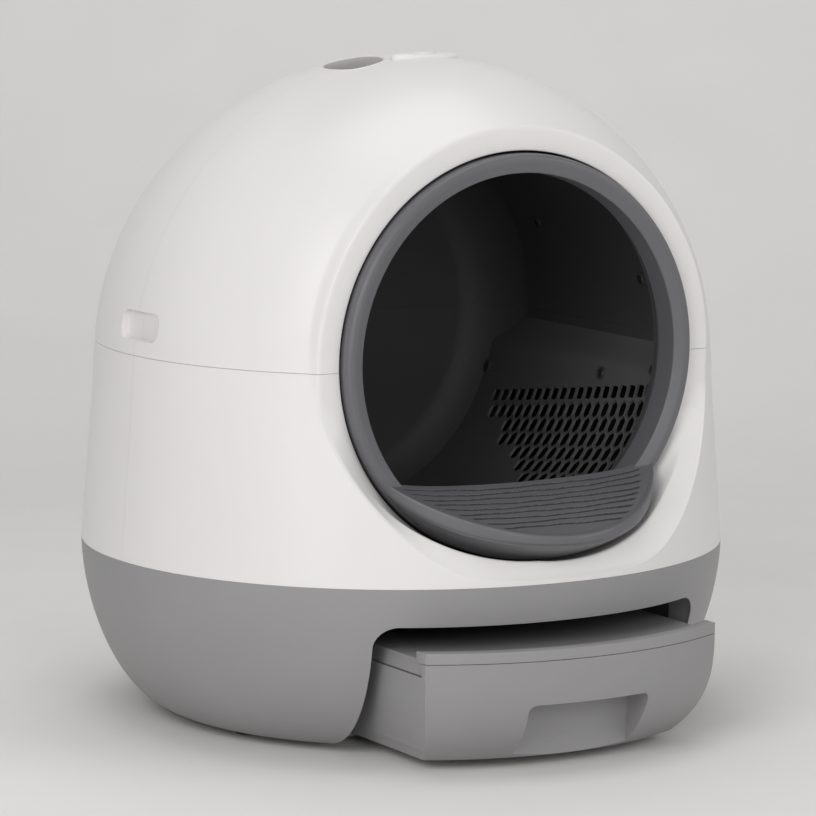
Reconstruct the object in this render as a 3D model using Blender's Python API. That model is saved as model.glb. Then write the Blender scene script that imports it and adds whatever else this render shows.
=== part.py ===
"""Self cleaning litter box: a drum on rollers, geared to a motor, in a domed housing over a waste drawer.

Metres, +Z up, front towards -Y. The origin is on the floor, in the middle of the plan of the whole
object with its drawer partly pulled out. Run with blender --background --python part.py.
"""

import math

import bmesh
import bpy
from mathutils import Matrix, Vector

# Small values shared by all pieces
seat_gap = 0.0003
overrun = 0.010
quarter_turn = math.pi / 2
full_turn = 2 * math.pi

# Outside form of the body
body_half_width = 0.264
body_half_depth = 0.257
plan_power = 2.06
foot_clearance = 0.005
floor_inset = 0.071
floor_radius = body_half_width - floor_inset
bowl_power = 1.76
parting_height = 0.142
shoulder_lean = 0.011
shoulder_half_width = body_half_width - shoulder_lean
front_fullness = 0.64
fullness_reach = math.radians(70)
shell_wall = 0.003
body_segments = 48
cavity_segments = 36

# Deck, under the drum
deck_drop = 0.0285
deck_bottom = parting_height - deck_drop
deck_thickness = 0.003

# Drum, turning about a level axis from front to back
drum_side_room = 0.074
drum_radius = body_half_width - drum_side_room
drum_floor_room = 0.004
drum_axis_height = deck_bottom + deck_thickness + drum_floor_room + drum_radius
drum_wall = 0.003
drum_front_room = 0.107
drum_front = -body_half_depth + drum_front_room
drum_front_fall = 0.030
drum_front_radius = drum_radius - drum_front_fall
drum_bend_fall = 0.012
drum_bend_radius = drum_radius - drum_bend_fall
drum_back_fall = 0.032
drum_back_radius = drum_radius - drum_back_fall
drum_taper_length = 0.031
drum_back_length = 0.038
drum_segments = 48
shell_split_gap = 0.0004

# White shells over the drum
shoulder_fall = 0.0205
shoulder_height = drum_axis_height - shoulder_fall
seam_fall = 0.0045
housing_seam_height = drum_axis_height - seam_fall
drum_top_room = 0.0375
crown_height = drum_axis_height + drum_radius + drum_top_room
dome_rise = crown_height - shoulder_height
shoulder_half_depth = body_half_depth * shoulder_half_width / body_half_width
drum_dome_gap = 0.0093
drum_dome_share = (drum_radius + shoulder_fall + drum_dome_gap) / dome_rise
drum_dome_reach = shoulder_half_depth * math.sqrt(1 - drum_dome_share**2)
drum_back = drum_dome_reach + drum_back_length

# Waste port and chute, in front of the ring gear
gear_back_room = 0.067
gear_centre_y = drum_back - gear_back_room
chute_gear_room = 0.025
chute_half_width = 0.055
chute_half_length = gear_centre_y - chute_gear_room
chute_wall = 0.0025
chute_drop = 0.0115
chute_bottom = deck_bottom - chute_drop
chute_corner = 0.012
seal_width = 0.006
port_inset = 0.005
port_half_width = chute_half_width - port_inset
port_half_length = chute_half_length - port_inset

# Entrance ring and step
ring_fall = 0.0305
ring_outer_radius = drum_radius - ring_fall
ring_width = 0.0155
ring_inner_radius = ring_outer_radius - ring_width
ring_reach = 0.032
ring_front = drum_front - ring_reach
ring_crown = 0.0035
ring_collar_fall = 0.0015
ring_collar_radius = ring_outer_radius - ring_collar_fall
drum_mouth_rise = 0.006
drum_mouth_radius = ring_inner_radius + drum_mouth_rise
sill_rise = 0.048
sill_height = drum_axis_height - ring_inner_radius + sill_rise
step_reach = 0.084
step_side_room = 0.008
step_half_width = ring_inner_radius - step_side_room
step_slope = math.radians(19.6)
step_chin_fall = 0.0005
step_chin_radius = ring_outer_radius - step_chin_fall
step_nose_fall = 0.027
step_nose_radius = step_chin_radius - step_nose_fall
step_depth = 0.004
step_back = ring_front + step_depth
chin_power = 1.6
groove_count = 8
groove_pitch = 0.0085
groove_width = 0.0032
groove_depth = 0.0013
groove_margin = 0.012

# Hole and bezel in the front of the housing
bezel_setback = 0.006
bezel_plane = ring_front + bezel_setback
bezel_clearance = 0.0025
bezel_hole_radius = ring_outer_radius + bezel_clearance
bezel_width = 0.019
bezel_outer_radius = bezel_hole_radius + bezel_width
bezel_rise = 0.005
bezel_bottom_height = parting_height + bezel_rise
bezel_step = 0.0015
bezel_flange = 0.003

# Grip recesses in the sides of the upper housing
grip_centre_y = -0.012
grip_rise = 0.023
grip_centre_height = housing_seam_height + grip_rise
grip_length = 0.060
grip_height = 0.025
grip_corner = 0.008
grip_depth = 0.006

# Control pad, push button and status panel on top
pad_half_width = 0.031
pad_half_length = 0.014
pad_centre_y = -0.031
pad_depth = 0.0105
pad_base_height = crown_height - pad_depth
pad_rim_rise = 0.0005
pad_rim_height = crown_height + pad_rim_rise
pad_crown_rise = 0.003
pad_crown_height = crown_height + pad_crown_rise
pad_skirt = 0.002
pad_roof_drop = 0.0055
pad_roof_height = crown_height - pad_roof_drop
button_radius = 0.009
button_travel = 0.0015
button_cap_height = 0.0050
button_stem_radius = 0.003
button_proud = 0.0006
board_thickness = 0.0016
panel_centre_x = -0.053
panel_centre_y = -0.004
panel_half_width = 0.019
panel_half_length = 0.034
panel_depth = 0.0016
panel_sink = 0.0002

# Base tub with the drawer bay
cutout_side_room = 0.115
cutout_half_width = body_half_width - cutout_side_room
cutout_lean = 0.008
cutout_floor_half_width = cutout_half_width - cutout_lean
cutout_drop = 0.0015
cutout_top_height = deck_bottom - cutout_drop
cutout_corner = 0.016
floor_front_room = 0.139
floor_front = -body_half_depth + floor_front_room
bay_lip = 0.0005
bay_half_width = cutout_half_width + bay_lip
bay_back_room = 0.145
bay_back = body_half_depth - bay_back_room
bay_wall = 0.0025

# Waste drawer and bag frame
drawer_pull = 0.046
drawer_side_room = 0.0155
drawer_half_width = cutout_half_width - drawer_side_room
drawer_lean = 0.0205
drawer_lean_power = 4.5
drawer_corner = 0.005
drawer_floor_gap = 0.0005
drawer_bottom = foot_clearance + drawer_floor_gap
lip_room = 0.013
lip_top = cutout_top_height - lip_room
fascia_fall = 0.036
fascia_power = 3.0
lip_rise = 0.002
frame_top = lip_top - lip_rise
lip_height = 0.0087
drawer_front_top = lip_top - lip_height
frame_height = 0.0127
drawer_side_top = frame_top - frame_height
drawer_back_room = 0.007
drawer_back = bay_back - drawer_back_room
drawer_wall = 0.0025
fascia_wall = 0.005
frame_side_fall = 0.0025
frame_half_width = drawer_half_width - frame_side_fall
lip_band = 0.012
frame_wall = 0.003
frame_hole_half_width = 0.088
frame_back_room = 0.027
frame_hole_half_length = drawer_back - frame_back_room
pull_half_width = 0.0553
pull_taper = 0.0036
pull_top_height = 0.0555
pull_depth = 0.0445
pull_back_depth = body_half_depth - pull_depth
pull_corner = 0.006
pull_sill_rise = 0.013

# Sieve screen, measured as angles below level on the right of the drum
sieve_stand_off = 0.018
sieve_radius = drum_radius - sieve_stand_off
sieve_thickness = 0.0025
sieve_top_angle = math.radians(2.2)
sieve_margin_angle = math.radians(9.5)
sieve_bottom_angle = math.radians(76)
sieve_arc_steps = 5
slot_rows = 9
slots_in_first_row = 19
slot_pitch = 0.013
slot_row_pitch = 0.0087
slot_width = 0.008
slot_height = 0.010
slot_corner = 0.002
slot_front_room = 0.029
slot_first_y = drum_front + slot_front_room
slot_first_angle = math.radians(14.0)
slot_row_slope = 0.124
slot_reach = 0.006

# Drive
ring_gear_teeth = 80
pinion_teeth = 10
ring_gear_rise = 0.0052
gear_module = (drum_radius + ring_gear_rise) * 2 / ring_gear_teeth
pressure_angle = math.radians(25)
tooth_addendum = 0.0027
tooth_dedendum = 0.0032
tooth_backlash = 0.0006
gear_width = 0.010
gear_side_gap = 0.003
pinion_width = 0.012
pinion_angle = math.radians(-135)
pinion_shaft_radius = 0.004
pinion_shaft_length = 0.020
motor_gearbox_radius = 0.021
motor_gearbox_length = 0.022
motor_can_radius = 0.017
motor_can_length = 0.036
motor_bracket_plate = 0.003
motor_bracket_radius = 0.0235
motor_leg_half_width = 0.018

# Support rollers
roller_radius = 0.012
roller_width = 0.014
roller_bore_radius = 0.0033
roller_spread = math.radians(40)
roller_front_room = 0.062
roller_front_y = drum_front + roller_front_room
roller_gear_room = 0.027
roller_back_y = gear_centre_y - roller_gear_room
axle_radius = 0.003
axle_overhang = 0.0015
bracket_wall = 0.003
bracket_half_length = 0.015
bracket_head_half_length = 0.008
bracket_head_rise = 0.0065
bracket_side_gap = 0.001

# Feet and load cells
foot_radius = 0.014
foot_taper = 0.0015
front_foot_inset = 0.027
front_foot_x = floor_radius - front_foot_inset
front_foot_y = -0.045
back_foot_inset = 0.093
back_foot_x = floor_radius - back_foot_inset
back_foot_room = 0.132
back_foot_y = body_half_depth - back_foot_room
cell_length = 0.050
cell_width = 0.012
cell_height = 0.010
cell_window_length = 0.020
cell_window_height = 0.005

# Power inlet and driver board at the back
inlet_height = 0.060
inlet_radius = 0.0085
inlet_flange_radius = 0.012
inlet_flange_thickness = 0.003
inlet_bore_radius = 0.0038
inlet_bore_depth = 0.012
inlet_body_length = 0.022
driver_board_half_width = 0.045
driver_board_bottom = 0.030
driver_board_drop = 0.0185
driver_board_top = deck_bottom - driver_board_drop

# Finishes: colour, roughness, metallic value
finishes = {
    "white shell": ((0.79, 0.76, 0.74, 1), 0.38, 0.0),
    "grey base": ((0.27, 0.24, 0.225, 1), 0.45, 0.0),
    "dark ring": ((0.125, 0.125, 0.135, 1), 0.42, 0.0),
    "drum plastic": ((0.045, 0.042, 0.040, 1), 0.50, 0.0),
    "inner plastic": ((0.060, 0.060, 0.062, 1), 0.55, 0.0),
    "gear plastic": ((0.62, 0.61, 0.58, 1), 0.45, 0.0),
    "steel": ((0.56, 0.56, 0.57, 1), 0.30, 1.0),
    "rubber": ((0.030, 0.030, 0.032, 1), 0.75, 0.0),
    "board": ((0.020, 0.110, 0.055, 1), 0.50, 0.0),
    "panel": ((0.110, 0.100, 0.095, 1), 0.20, 0.0),
}


# Meshes and modifiers
def clear_scene():
    for item in list(bpy.data.objects):
        bpy.data.objects.remove(item, do_unlink=True)


def link_mesh(name, builder):
    """An object from a filled bmesh, closed and facing out."""
    bmesh.ops.recalc_face_normals(builder, faces=builder.faces)
    mesh = bpy.data.meshes.new(name)
    builder.to_mesh(mesh)
    builder.free()
    item = bpy.data.objects.new(name, mesh)
    bpy.context.scene.collection.objects.link(item)
    return item


def add_loft(builder, rings):
    """Bridges rings of equal length and fills the two ends."""
    loops = [[builder.verts.new(point) for point in ring] for ring in rings]
    for lower, upper in zip(loops, loops[1:]):
        for here in range(len(lower)):
            builder.faces.new((lower[here - 1], lower[here], upper[here], upper[here - 1]))
    builder.faces.new(loops[0])
    builder.faces.new(loops[-1])


def loft(name, rings):
    builder = bmesh.new()
    add_loft(builder, rings)
    return link_mesh(name, builder)


def across(axis, first, second, along):
    """A point from two coordinates square to an axis and one along it."""
    if axis == "X":
        return (along, first, second)
    if axis == "Y":
        return (first, along, second)
    return (first, second, along)


def prism(name, axis, outline, start, end):
    return loft(name, [[across(axis, a, b, along) for a, b in outline] for along in (start, end)])


def circle(radius, segments, centre=(0.0, 0.0)):
    steps = (full_turn * step / segments for step in range(segments))
    return [(centre[0] + radius * math.cos(a), centre[1] + radius * math.sin(a)) for a in steps]


def oval(half_width, half_length, centre, segments=18):
    stretch = half_length / half_width
    return [(a + centre[0], b * stretch + centre[1]) for a, b in circle(half_width, segments)]


def spool(name, axis, centre, sections, segments):
    """A solid of revolution from pairs of a place on its axis and a radius."""
    rings = []
    for along, radius in sections:
        outline = circle(radius, segments, centre)
        rings.append([across(axis, a, b, along) for a, b in outline])
    return loft(name, rings)


def turned_ring(name, axis, centre, profile, segments):
    """A ring turned from a closed outline of pairs of a place on the axis and a radius."""
    builder = bmesh.new()
    loops = []
    for along, radius in profile:
        outline = circle(radius, segments, centre)
        loops.append([builder.verts.new(across(axis, a, b, along)) for a, b in outline])
    for near, far in zip(loops, loops[1:] + loops[:1]):
        for here in range(segments):
            builder.faces.new((near[here - 1], near[here], far[here], far[here - 1]))
    return link_mesh(name, builder)


def box(name, low, high):
    outline = [(low[0], low[1]), (high[0], low[1]), (high[0], high[1]), (low[0], high[1])]
    return prism(name, "Z", outline, low[2], high[2])


def softened(outline, radii, steps=4):
    """The outline with each corner rounded by its own radius, where that isn't zero."""
    points = []
    for here, radius in enumerate(radii):
        corner = Vector(outline[here])
        if not radius:
            points.append(tuple(corner))
            continue
        before = (Vector(outline[here - 1]) - corner).normalized()
        after = (Vector(outline[(here + 1) % len(outline)]) - corner).normalized()
        half_angle = before.angle(after) / 2
        reach = radius / math.tan(half_angle)
        middle = corner + (before + after).normalized() * (radius / math.sin(half_angle))
        first = corner + before * reach - middle
        last = corner + after * reach - middle
        for step in range(steps + 1):
            spoke = first.lerp(last, step / steps).normalized()
            points.append(tuple(middle + spoke * radius))
    return points


def rounded_box_outline(half_width, half_height, radius, centre=(0.0, 0.0), steps=4):
    corners = [(-half_width, -half_height), (half_width, -half_height)]
    corners += [(half_width, half_height), (-half_width, half_height)]
    placed = [(centre[0] + a, centre[1] + b) for a, b in corners]
    return softened(placed, [radius] * len(placed), steps)


def combine(target, other, operation):
    """A Boolean with a helper object, which is then left out of the model."""
    modifier = target.modifiers.new(operation.lower(), "BOOLEAN")
    modifier.operation = operation
    modifier.solver = "EXACT"
    modifier.object = other
    other.hide_render = True
    other.display_type = "WIRE"
    return target


def cut(target, other):
    return combine(target, other, "DIFFERENCE")


def keep_within(target, other):
    return combine(target, other, "INTERSECT")


def join(target, other):
    return combine(target, other, "UNION")


def material_of(name):
    if name in bpy.data.materials:
        return bpy.data.materials[name]
    colour, roughness, metallic = finishes[name]
    made = bpy.data.materials.new(name)
    made.use_nodes = True
    shader = made.node_tree.nodes["Principled BSDF"]
    shader.inputs["Base Color"].default_value = colour
    shader.inputs["Roughness"].default_value = roughness
    shader.inputs["Metallic"].default_value = metallic
    made.diffuse_color = colour
    return made


def finish(item, name):
    item.data.materials.append(material_of(name))
    item.data.shade_smooth()
    item.data.set_sharp_from_angle(angle=math.radians(35))
    return item


def pivot(name, place):
    """An empty on a joint's axis."""
    marker = bpy.data.objects.new(name, None)
    marker.location = place
    bpy.context.scene.collection.objects.link(marker)
    return marker


def carry(item, marker):
    """Gives a piece its origin on its joint's axis without moving it."""
    item.data.transform(Matrix.Translation(-Vector(marker.location)))
    item.parent = marker
    return item


# Outside form
def plan_radius(azimuth, half_width, half_depth):
    """Distance from the centre to the rounded plan outline, azimuth 0 being the front."""
    sideways = abs(math.sin(azimuth)) / half_width
    lengthways = abs(math.cos(azimuth)) / half_depth
    return (sideways**plan_power + lengthways**plan_power) ** (-1 / plan_power)


def dome_power(azimuth):
    """The dome is an ellipse at the sides and back, and fuller towards the front."""
    turn = abs((azimuth + math.pi) % full_turn - math.pi) / fullness_reach
    return 2 + front_fullness * max(1 - turn**2, 0) ** 2


def body_half_width_at(height, inset):
    if height >= shoulder_height:
        return shoulder_half_width
    if height >= parting_height:
        share = (height - parting_height) / (shoulder_height - parting_height)
        return body_half_width + (shoulder_half_width - body_half_width) * share
    drop = (parting_height - height) / (parting_height - foot_clearance - inset)
    reach = (1 - min(drop, 1) ** bowl_power) ** (1 / bowl_power)
    return floor_radius + (body_half_width - floor_radius) * reach


def body_radius(azimuth, height, inset=0.0):
    half_width = body_half_width_at(height, inset)
    half_depth = half_width * body_half_depth / body_half_width
    radius = plan_radius(azimuth, half_width - inset, half_depth - inset)
    if height <= shoulder_height:
        return radius
    power = dome_power(azimuth)
    rise = (height - shoulder_height) / (dome_rise - inset)
    return radius * max(1 - rise**power, 0) ** (1 / power)


def body_ring(height, inset=0.0, segments=body_segments):
    ring = []
    for step in range(segments):
        azimuth = full_turn * step / segments
        radius = body_radius(azimuth, height, inset)
        ring.append((radius * math.sin(azimuth), -radius * math.cos(azimuth), height))
    return ring


def inner_ring(height, inset):
    return body_ring(height, inset, cavity_segments)


def bowl_rings(low, high, inset, segments, steps):
    """Rings up the bowl, closer near the floor. Ends between two rings lie on the line joining them."""
    depth = parting_height - foot_clearance
    stops = [foot_clearance + inset]
    for step in range(steps - 1, 0, -1):
        share = math.sin(quarter_turn * step / steps) ** (2 / bowl_power)
        stops.append(parting_height - depth * share)
    stops.append(parting_height)
    whole = [body_ring(height, inset, segments) for height in stops]
    between = [ring for ring, stop in zip(whole, stops) if low < stop < high]
    return [ring_at(low, stops, whole)] + between + [ring_at(high, stops, whole)]


def ring_at(height, stops, whole):
    if height <= stops[0] or height >= stops[-1]:
        nearest = whole[0] if height <= stops[0] else whole[-1]
        return [(x, y, height) for x, y, _ in nearest]
    above = next(here for here, stop in enumerate(stops) if stop > height)
    share = (height - stops[above - 1]) / (stops[above] - stops[above - 1])
    pairs = zip(whole[above - 1], whole[above])
    return [tuple(Vector(lower).lerp(Vector(upper), share)) for lower, upper in pairs]


def dome_heights(low, inset, steps):
    """Heights up the dome from a level to its crown."""
    rise = dome_rise - inset
    start = math.asin((low - shoulder_height) / rise)
    crown = math.radians(87.5)
    angles = (start + (crown - start) * step / steps for step in range(steps + 1))
    return [shoulder_height + rise * math.sin(angle) for angle in angles]


def bowl_solid(name, low, high, inset):
    return loft(name, bowl_rings(low, high, inset, body_segments, 6))


def inner_bowl(name, low, high, inset):
    return loft(name, bowl_rings(low, high, inset, cavity_segments, 5))


def front_of_body(across_x, height):
    """How far forward the body's front face lies at a place seen from the front."""
    near, far = 0.0, body_half_depth + overrun
    for _ in range(40):
        middle = (near + far) / 2
        azimuth = math.atan2(across_x, middle)
        if math.hypot(across_x, middle) < body_radius(azimuth, height):
            near = middle
        else:
            far = middle
    return -near


# Front opening of the housing
def bezel_radius(angle):
    """The bezel's outline is a circle, flattened where it nears the grey base."""
    fall = max(-math.sin(angle), 0) * bezel_outer_radius / (drum_axis_height - bezel_bottom_height)
    sharpness = 24
    return bezel_outer_radius * (1 + fall**sharpness) ** (-1 / sharpness)


def bezel_solid(name, grow, back):
    """What the front opening takes out of the housing, or with a wall added, what backs it."""
    hole, rim, edge, front = [], [], [], []
    reach = -body_half_depth - 2 * overrun
    for step in range(body_segments):
        angle = full_turn * step / body_segments
        outer = bezel_radius(angle)
        ahead = front_of_body(outer * math.cos(angle), drum_axis_height + outer * math.sin(angle))
        ahead = min(ahead + bezel_step, bezel_plane)
        ahead = ahead + grow
        for ring, radius, along in (
            (hole, bezel_hole_radius + grow, back),
            (rim, bezel_hole_radius + grow, bezel_plane + grow),
            (edge, outer + grow, ahead),
            (front, outer + grow, reach),
        ):
            across_x = radius * math.cos(angle)
            ring.append((across_x, along, drum_axis_height + radius * math.sin(angle)))
    rings = [rim, edge, front] if grow else [hole, rim, edge, front]
    return loft(name, rings)


def housing_cavity(name, low, heights):
    """The hollow of a white shell, stopping behind the bezel."""
    rings = [inner_ring(height, shell_wall) for height in [low] + heights]
    cavity = loft(name, rings)
    return cut(cavity, bezel_solid(name + "_bezel_backing", bezel_flange, 0.0))


def grip_outline(spare):
    """The recess seen from the side, in Y and Z."""
    half_length = grip_length / 2 + spare
    half_height = grip_height / 2 + spare
    centre = (grip_centre_y, grip_centre_height)
    return rounded_box_outline(half_length, half_height, grip_corner + spare, centre)


def grip_floor():
    return body_radius(quarter_turn, grip_centre_height) - grip_depth


def pad_place():
    return (0.0, pad_centre_y)


def panel_outline(spare):
    centre = (panel_centre_x, panel_centre_y)
    return oval(panel_half_width + spare, panel_half_length + spare, centre)


def make_upper_housing():
    low = housing_seam_height + seat_gap / 2
    outside = [low] + dome_heights(low, 0.0, 8)[1:]
    shell = loft("upper_housing", [body_ring(height) for height in outside])
    inside = dome_heights(low, shell_wall, 7)
    cavity = housing_cavity("upper_cavity", low - overrun, inside[1:])
    for side in (-1, 1):
        start, end = side * (grip_floor() - shell_wall), side * (body_half_width + overrun)
        cut(cavity, prism("grip_backing", "X", grip_outline(shell_wall), start, end))
    cut(shell, cavity)
    cut(shell, bezel_solid("upper_bezel", 0.0, bezel_plane + 2 * overrun))
    for side in (-1, 1):
        start, end = side * grip_floor(), side * (body_half_width + overrun)
        cut(shell, prism("grip_cut", "X", grip_outline(0.0), start, end))
    top = shoulder_height + dome_rise + overrun
    pad_hole = oval(pad_half_width + seat_gap, pad_half_length + seat_gap, pad_place())
    cut(shell, prism("pad_hole", "Z", pad_hole, pad_base_height - 2 * overrun, top))
    pocket = prism("panel_pocket", "Z", panel_outline(seat_gap), pad_base_height - 2 * overrun, top)
    pocket_floor = panel_depth + panel_sink + seat_gap
    cut(pocket, loft("panel_floor", crown_rings(pocket_floor)))
    cut(shell, pocket)
    return finish(shell, "white shell")


def crown_rings(inset):
    """The upper part of the dome, set inwards."""
    low = shoulder_height + dome_rise / 2
    return [body_ring(height, inset) for height in dome_heights(low, inset, 6)]


def make_status_panel():
    low = pad_base_height - 2 * overrun
    top = shoulder_height + dome_rise + overrun
    panel = prism("status_panel", "Z", panel_outline(0.0), low, top)
    keep_within(panel, loft("panel_top", crown_rings(panel_sink)))
    cut(panel, loft("panel_underside", crown_rings(panel_depth + panel_sink)))
    return finish(panel, "panel")


def make_lower_housing():
    low = parting_height + seat_gap
    high = housing_seam_height - seat_gap / 2
    heights = [low, shoulder_height, high]
    shell = loft("lower_housing", [body_ring(height) for height in heights])
    cavity = housing_cavity("lower_cavity", low - overrun, [shoulder_height, high + overrun])
    cut(shell, cavity)
    cut(shell, bezel_solid("lower_bezel", 0.0, bezel_plane + 2 * overrun))
    return finish(shell, "white shell")


# Base
def cutout_outline():
    """The drawer opening seen from the front, in X and Z."""
    low = foot_clearance - overrun
    corners = [(-cutout_floor_half_width, low), (cutout_floor_half_width, low)]
    corners += [(cutout_half_width, cutout_top_height), (-cutout_half_width, cutout_top_height)]
    return softened(corners, [0.0, 0.0, cutout_corner, cutout_corner])


def make_base_tub():
    tub = bowl_solid("base_tub", foot_clearance, parting_height, 0.0)
    floor = foot_clearance + shell_wall
    cut(tub, inner_bowl("tub_hollow", floor, parting_height + overrun, shell_wall))
    front = -body_half_depth - overrun
    cut(tub, prism("drawer_cutout", "Y", cutout_outline(), front, floor_front))
    inlet_hole = circle(inlet_radius + seat_gap, 14, (0.0, inlet_height))
    cut(tub, prism("inlet_hole", "Y", inlet_hole, bay_back, body_half_depth + overrun))
    return finish(tub, "grey base")


def make_drawer_bay():
    """A U-shaped liner between the tub's floor and the deck."""
    outer, inner = bay_half_width + bay_wall, bay_half_width
    front = -body_half_depth
    back = bay_back + bay_wall
    outline = [(-outer, front), (-inner, front), (-inner, bay_back), (inner, bay_back)]
    outline += [(inner, front), (outer, front), (outer, back), (-outer, back)]
    low = foot_clearance + shell_wall + seat_gap
    liner = prism("drawer_bay", "Z", outline, low, deck_bottom - seat_gap)
    inset = shell_wall + seat_gap
    inside = inner_bowl("bay_limit", low - seat_gap, deck_bottom + overrun, inset)
    keep_within(liner, inside)
    return finish(liner, "inner plastic")


def chute_outline(grow):
    half_width, half_length = chute_half_width + grow, chute_half_length + grow
    return rounded_box_outline(half_width, half_length, chute_corner + grow)


def make_chassis_deck():
    """The floor under the drum, with the chute through which the waste drops."""
    top = deck_bottom + deck_thickness
    inset = shell_wall + seat_gap
    deck = inner_bowl("chassis_deck", deck_bottom, top, inset)
    rim = prism("chute_wall", "Z", chute_outline(chute_wall), chute_bottom, top - seat_gap)
    join(deck, rim)
    cut(deck, prism("chute_hole", "Z", chute_outline(0.0), chute_bottom - overrun, top + overrun))
    sweep = circle(gear_tip_radius() + gear_side_gap, drum_segments, (0.0, drum_axis_height))
    start = gear_centre_y - gear_width / 2 - gear_side_gap
    cut(deck, prism("gear_slot", "Y", sweep, start, start + gear_width + 2 * gear_side_gap))
    return finish(deck, "inner plastic")


def make_chute_seal():
    """A soft lip round the chute, hollowed to the drum's curve."""
    low = deck_bottom + deck_thickness + seat_gap
    high = low + 2 * seal_width
    seal = prism("chute_seal", "Z", chute_outline(seal_width), low, high)
    cut(seal, prism("seal_hole", "Z", chute_outline(0.0), low - overrun, high + overrun))
    sweep = circle(drum_radius + 2 * seat_gap, drum_segments, (0.0, drum_axis_height))
    cut(seal, prism("seal_hollow", "Y", sweep, drum_front, drum_back))
    return finish(seal, "rubber")


def foot_places():
    return {
        "front_left": (-front_foot_x, front_foot_y),
        "front_right": (front_foot_x, front_foot_y),
        "back_left": (-back_foot_x, back_foot_y),
        "back_right": (back_foot_x, back_foot_y),
    }


def make_feet():
    for place, (x, y) in foot_places().items():
        top = foot_clearance - seat_gap
        sections = [(0.0, foot_radius - foot_taper), (top, foot_radius)]
        finish(spool("foot_" + place, "Z", (x, y), sections, 14), "rubber")


def make_load_cells():
    """A bar with a window over each foot, which weighs what stands on it."""
    low = foot_clearance + shell_wall + seat_gap
    for place, (x, y) in foot_places().items():
        at_front = place.startswith("front")
        axis = "X" if at_front else "Y"
        along, side = (y, x) if at_front else (x, y)
        half = cell_length / 2
        outline = [(along - half, low), (along + half, low)]
        outline += [(along + half, low + cell_height), (along - half, low + cell_height)]
        start, end = side - cell_width / 2, side + cell_width / 2
        cell = prism("load_cell_" + place, axis, outline, start, end)
        window = rounded_box_outline(
            cell_window_length / 2,
            cell_window_height / 2,
            cell_window_height / 3,
            (along, low + cell_height / 2),
            2,
        )
        cut(cell, prism("cell_window", axis, window, start - overrun, end + overrun))
        finish(cell, "steel")


# Drum
def drum_outline(inset):
    """Places along the axis and radii of the drum's outside, or of its hollow."""
    sections = [(drum_front, drum_front_radius)]
    if inset:
        mouth = drum_mouth_radius
        sections = [(drum_front - overrun, mouth), (drum_front + inset, mouth)]
        sections.append((drum_front + inset + seat_gap, drum_front_radius - inset))
    front_shoulder = drum_front + drum_taper_length + inset / 2
    back_shoulder = drum_back - drum_back_length - inset / 2
    sections += [(front_shoulder, drum_radius - inset), (back_shoulder, drum_radius - inset)]
    middle = drum_back - drum_back_length * 0.42 - inset * 0.7
    sections.append((middle, drum_bend_radius - inset))
    sections.append((drum_back - inset, drum_back_radius - inset))
    return sections


def drum_spool(name, inset):
    centre = (0.0, drum_axis_height)
    return spool(name, "Y", centre, drum_outline(inset), drum_segments)


def make_drum_shell(name, lower):
    shell = drum_spool(name, 0.0)
    cut(shell, drum_spool(name + "_hollow", drum_wall))
    reach = drum_radius + overrun
    split = drum_axis_height + (-1 if lower else 1) * shell_split_gap / 2
    low = split if lower else drum_axis_height - reach
    high = drum_axis_height + reach if lower else split
    ends = (drum_front - 2 * overrun, drum_back + overrun)
    cut(shell, box(name + "_other_half", (-reach, ends[0], low), (reach, ends[1], high)))
    if not lower:
        port = (port_half_width, port_half_length)
        outline = rounded_box_outline(port[0], port[1], chute_corner)
        start = drum_axis_height + sieve_radius / 2
        cut(shell, prism("waste_port", "Z", outline, start, start + drum_radius))
    return finish(shell, "drum plastic")


def step_plan():
    """The step seen from above: a bow that ends at the ring."""
    steps = 16
    outline = []
    for step in range(steps + 1):
        across_x = step_half_width * (2 * step / steps - 1)
        bow = step_reach * math.cos(quarter_turn * across_x / step_half_width)
        outline.append((across_x, ring_front - bow))
    back = step_back + seat_gap
    return outline + [(step_half_width, back), (-step_half_width, back)]


def step_radius(along):
    """Radius of the step's underside about the drum's axis, which falls towards the nose."""
    chin = ring_front - groove_margin / 2
    share = (chin - along) / (step_reach - groove_margin / 2)
    fall = step_chin_radius - step_nose_radius
    return step_chin_radius - fall * share**chin_power


def step_sections():
    """The underside of the step is turned about the drum's axis, so that it clears the bezel."""
    nose = ring_front - step_reach
    chin = ring_front - groove_margin / 2
    steps = 4
    places = [chin + (nose - chin) * step / steps for step in range(steps + 1)]
    return [(step_back, ring_collar_radius)] + [(along, step_radius(along)) for along in places]


def tread_height(along):
    return sill_height + (along - ring_front) * math.tan(step_slope)


def make_entry_ring():
    centre = (0.0, drum_axis_height)
    back = drum_front - seat_gap
    width = ring_outer_radius - ring_inner_radius
    profile = [
        (ring_front, ring_inner_radius),
        (ring_front - ring_crown, ring_inner_radius + width / 2),
        (ring_front - ring_crown / 2, ring_outer_radius - width / 5),
        (ring_front + ring_crown, ring_outer_radius),
        (back, ring_collar_radius),
        (back, drum_mouth_radius),
        (back - groove_margin, ring_inner_radius),
    ]
    ring = turned_ring("entry_ring", "Y", centre, profile, drum_segments)
    step = spool("step_body", "Y", centre, step_sections(), drum_segments)
    low, high = drum_axis_height - drum_radius, drum_axis_height + drum_radius
    keep_within(step, prism("step_plan", "Z", step_plan(), low, high))
    far, near = ring_front - step_reach - overrun, step_back + overrun
    above = [(far, tread_height(far)), (near, tread_height(near)), (near, high), (far, high)]
    cut(step, prism("above_tread", "X", above, -drum_radius, drum_radius))
    join(ring, step)
    cut(ring, tread_grooves())
    return finish(ring, "dark ring")


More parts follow.
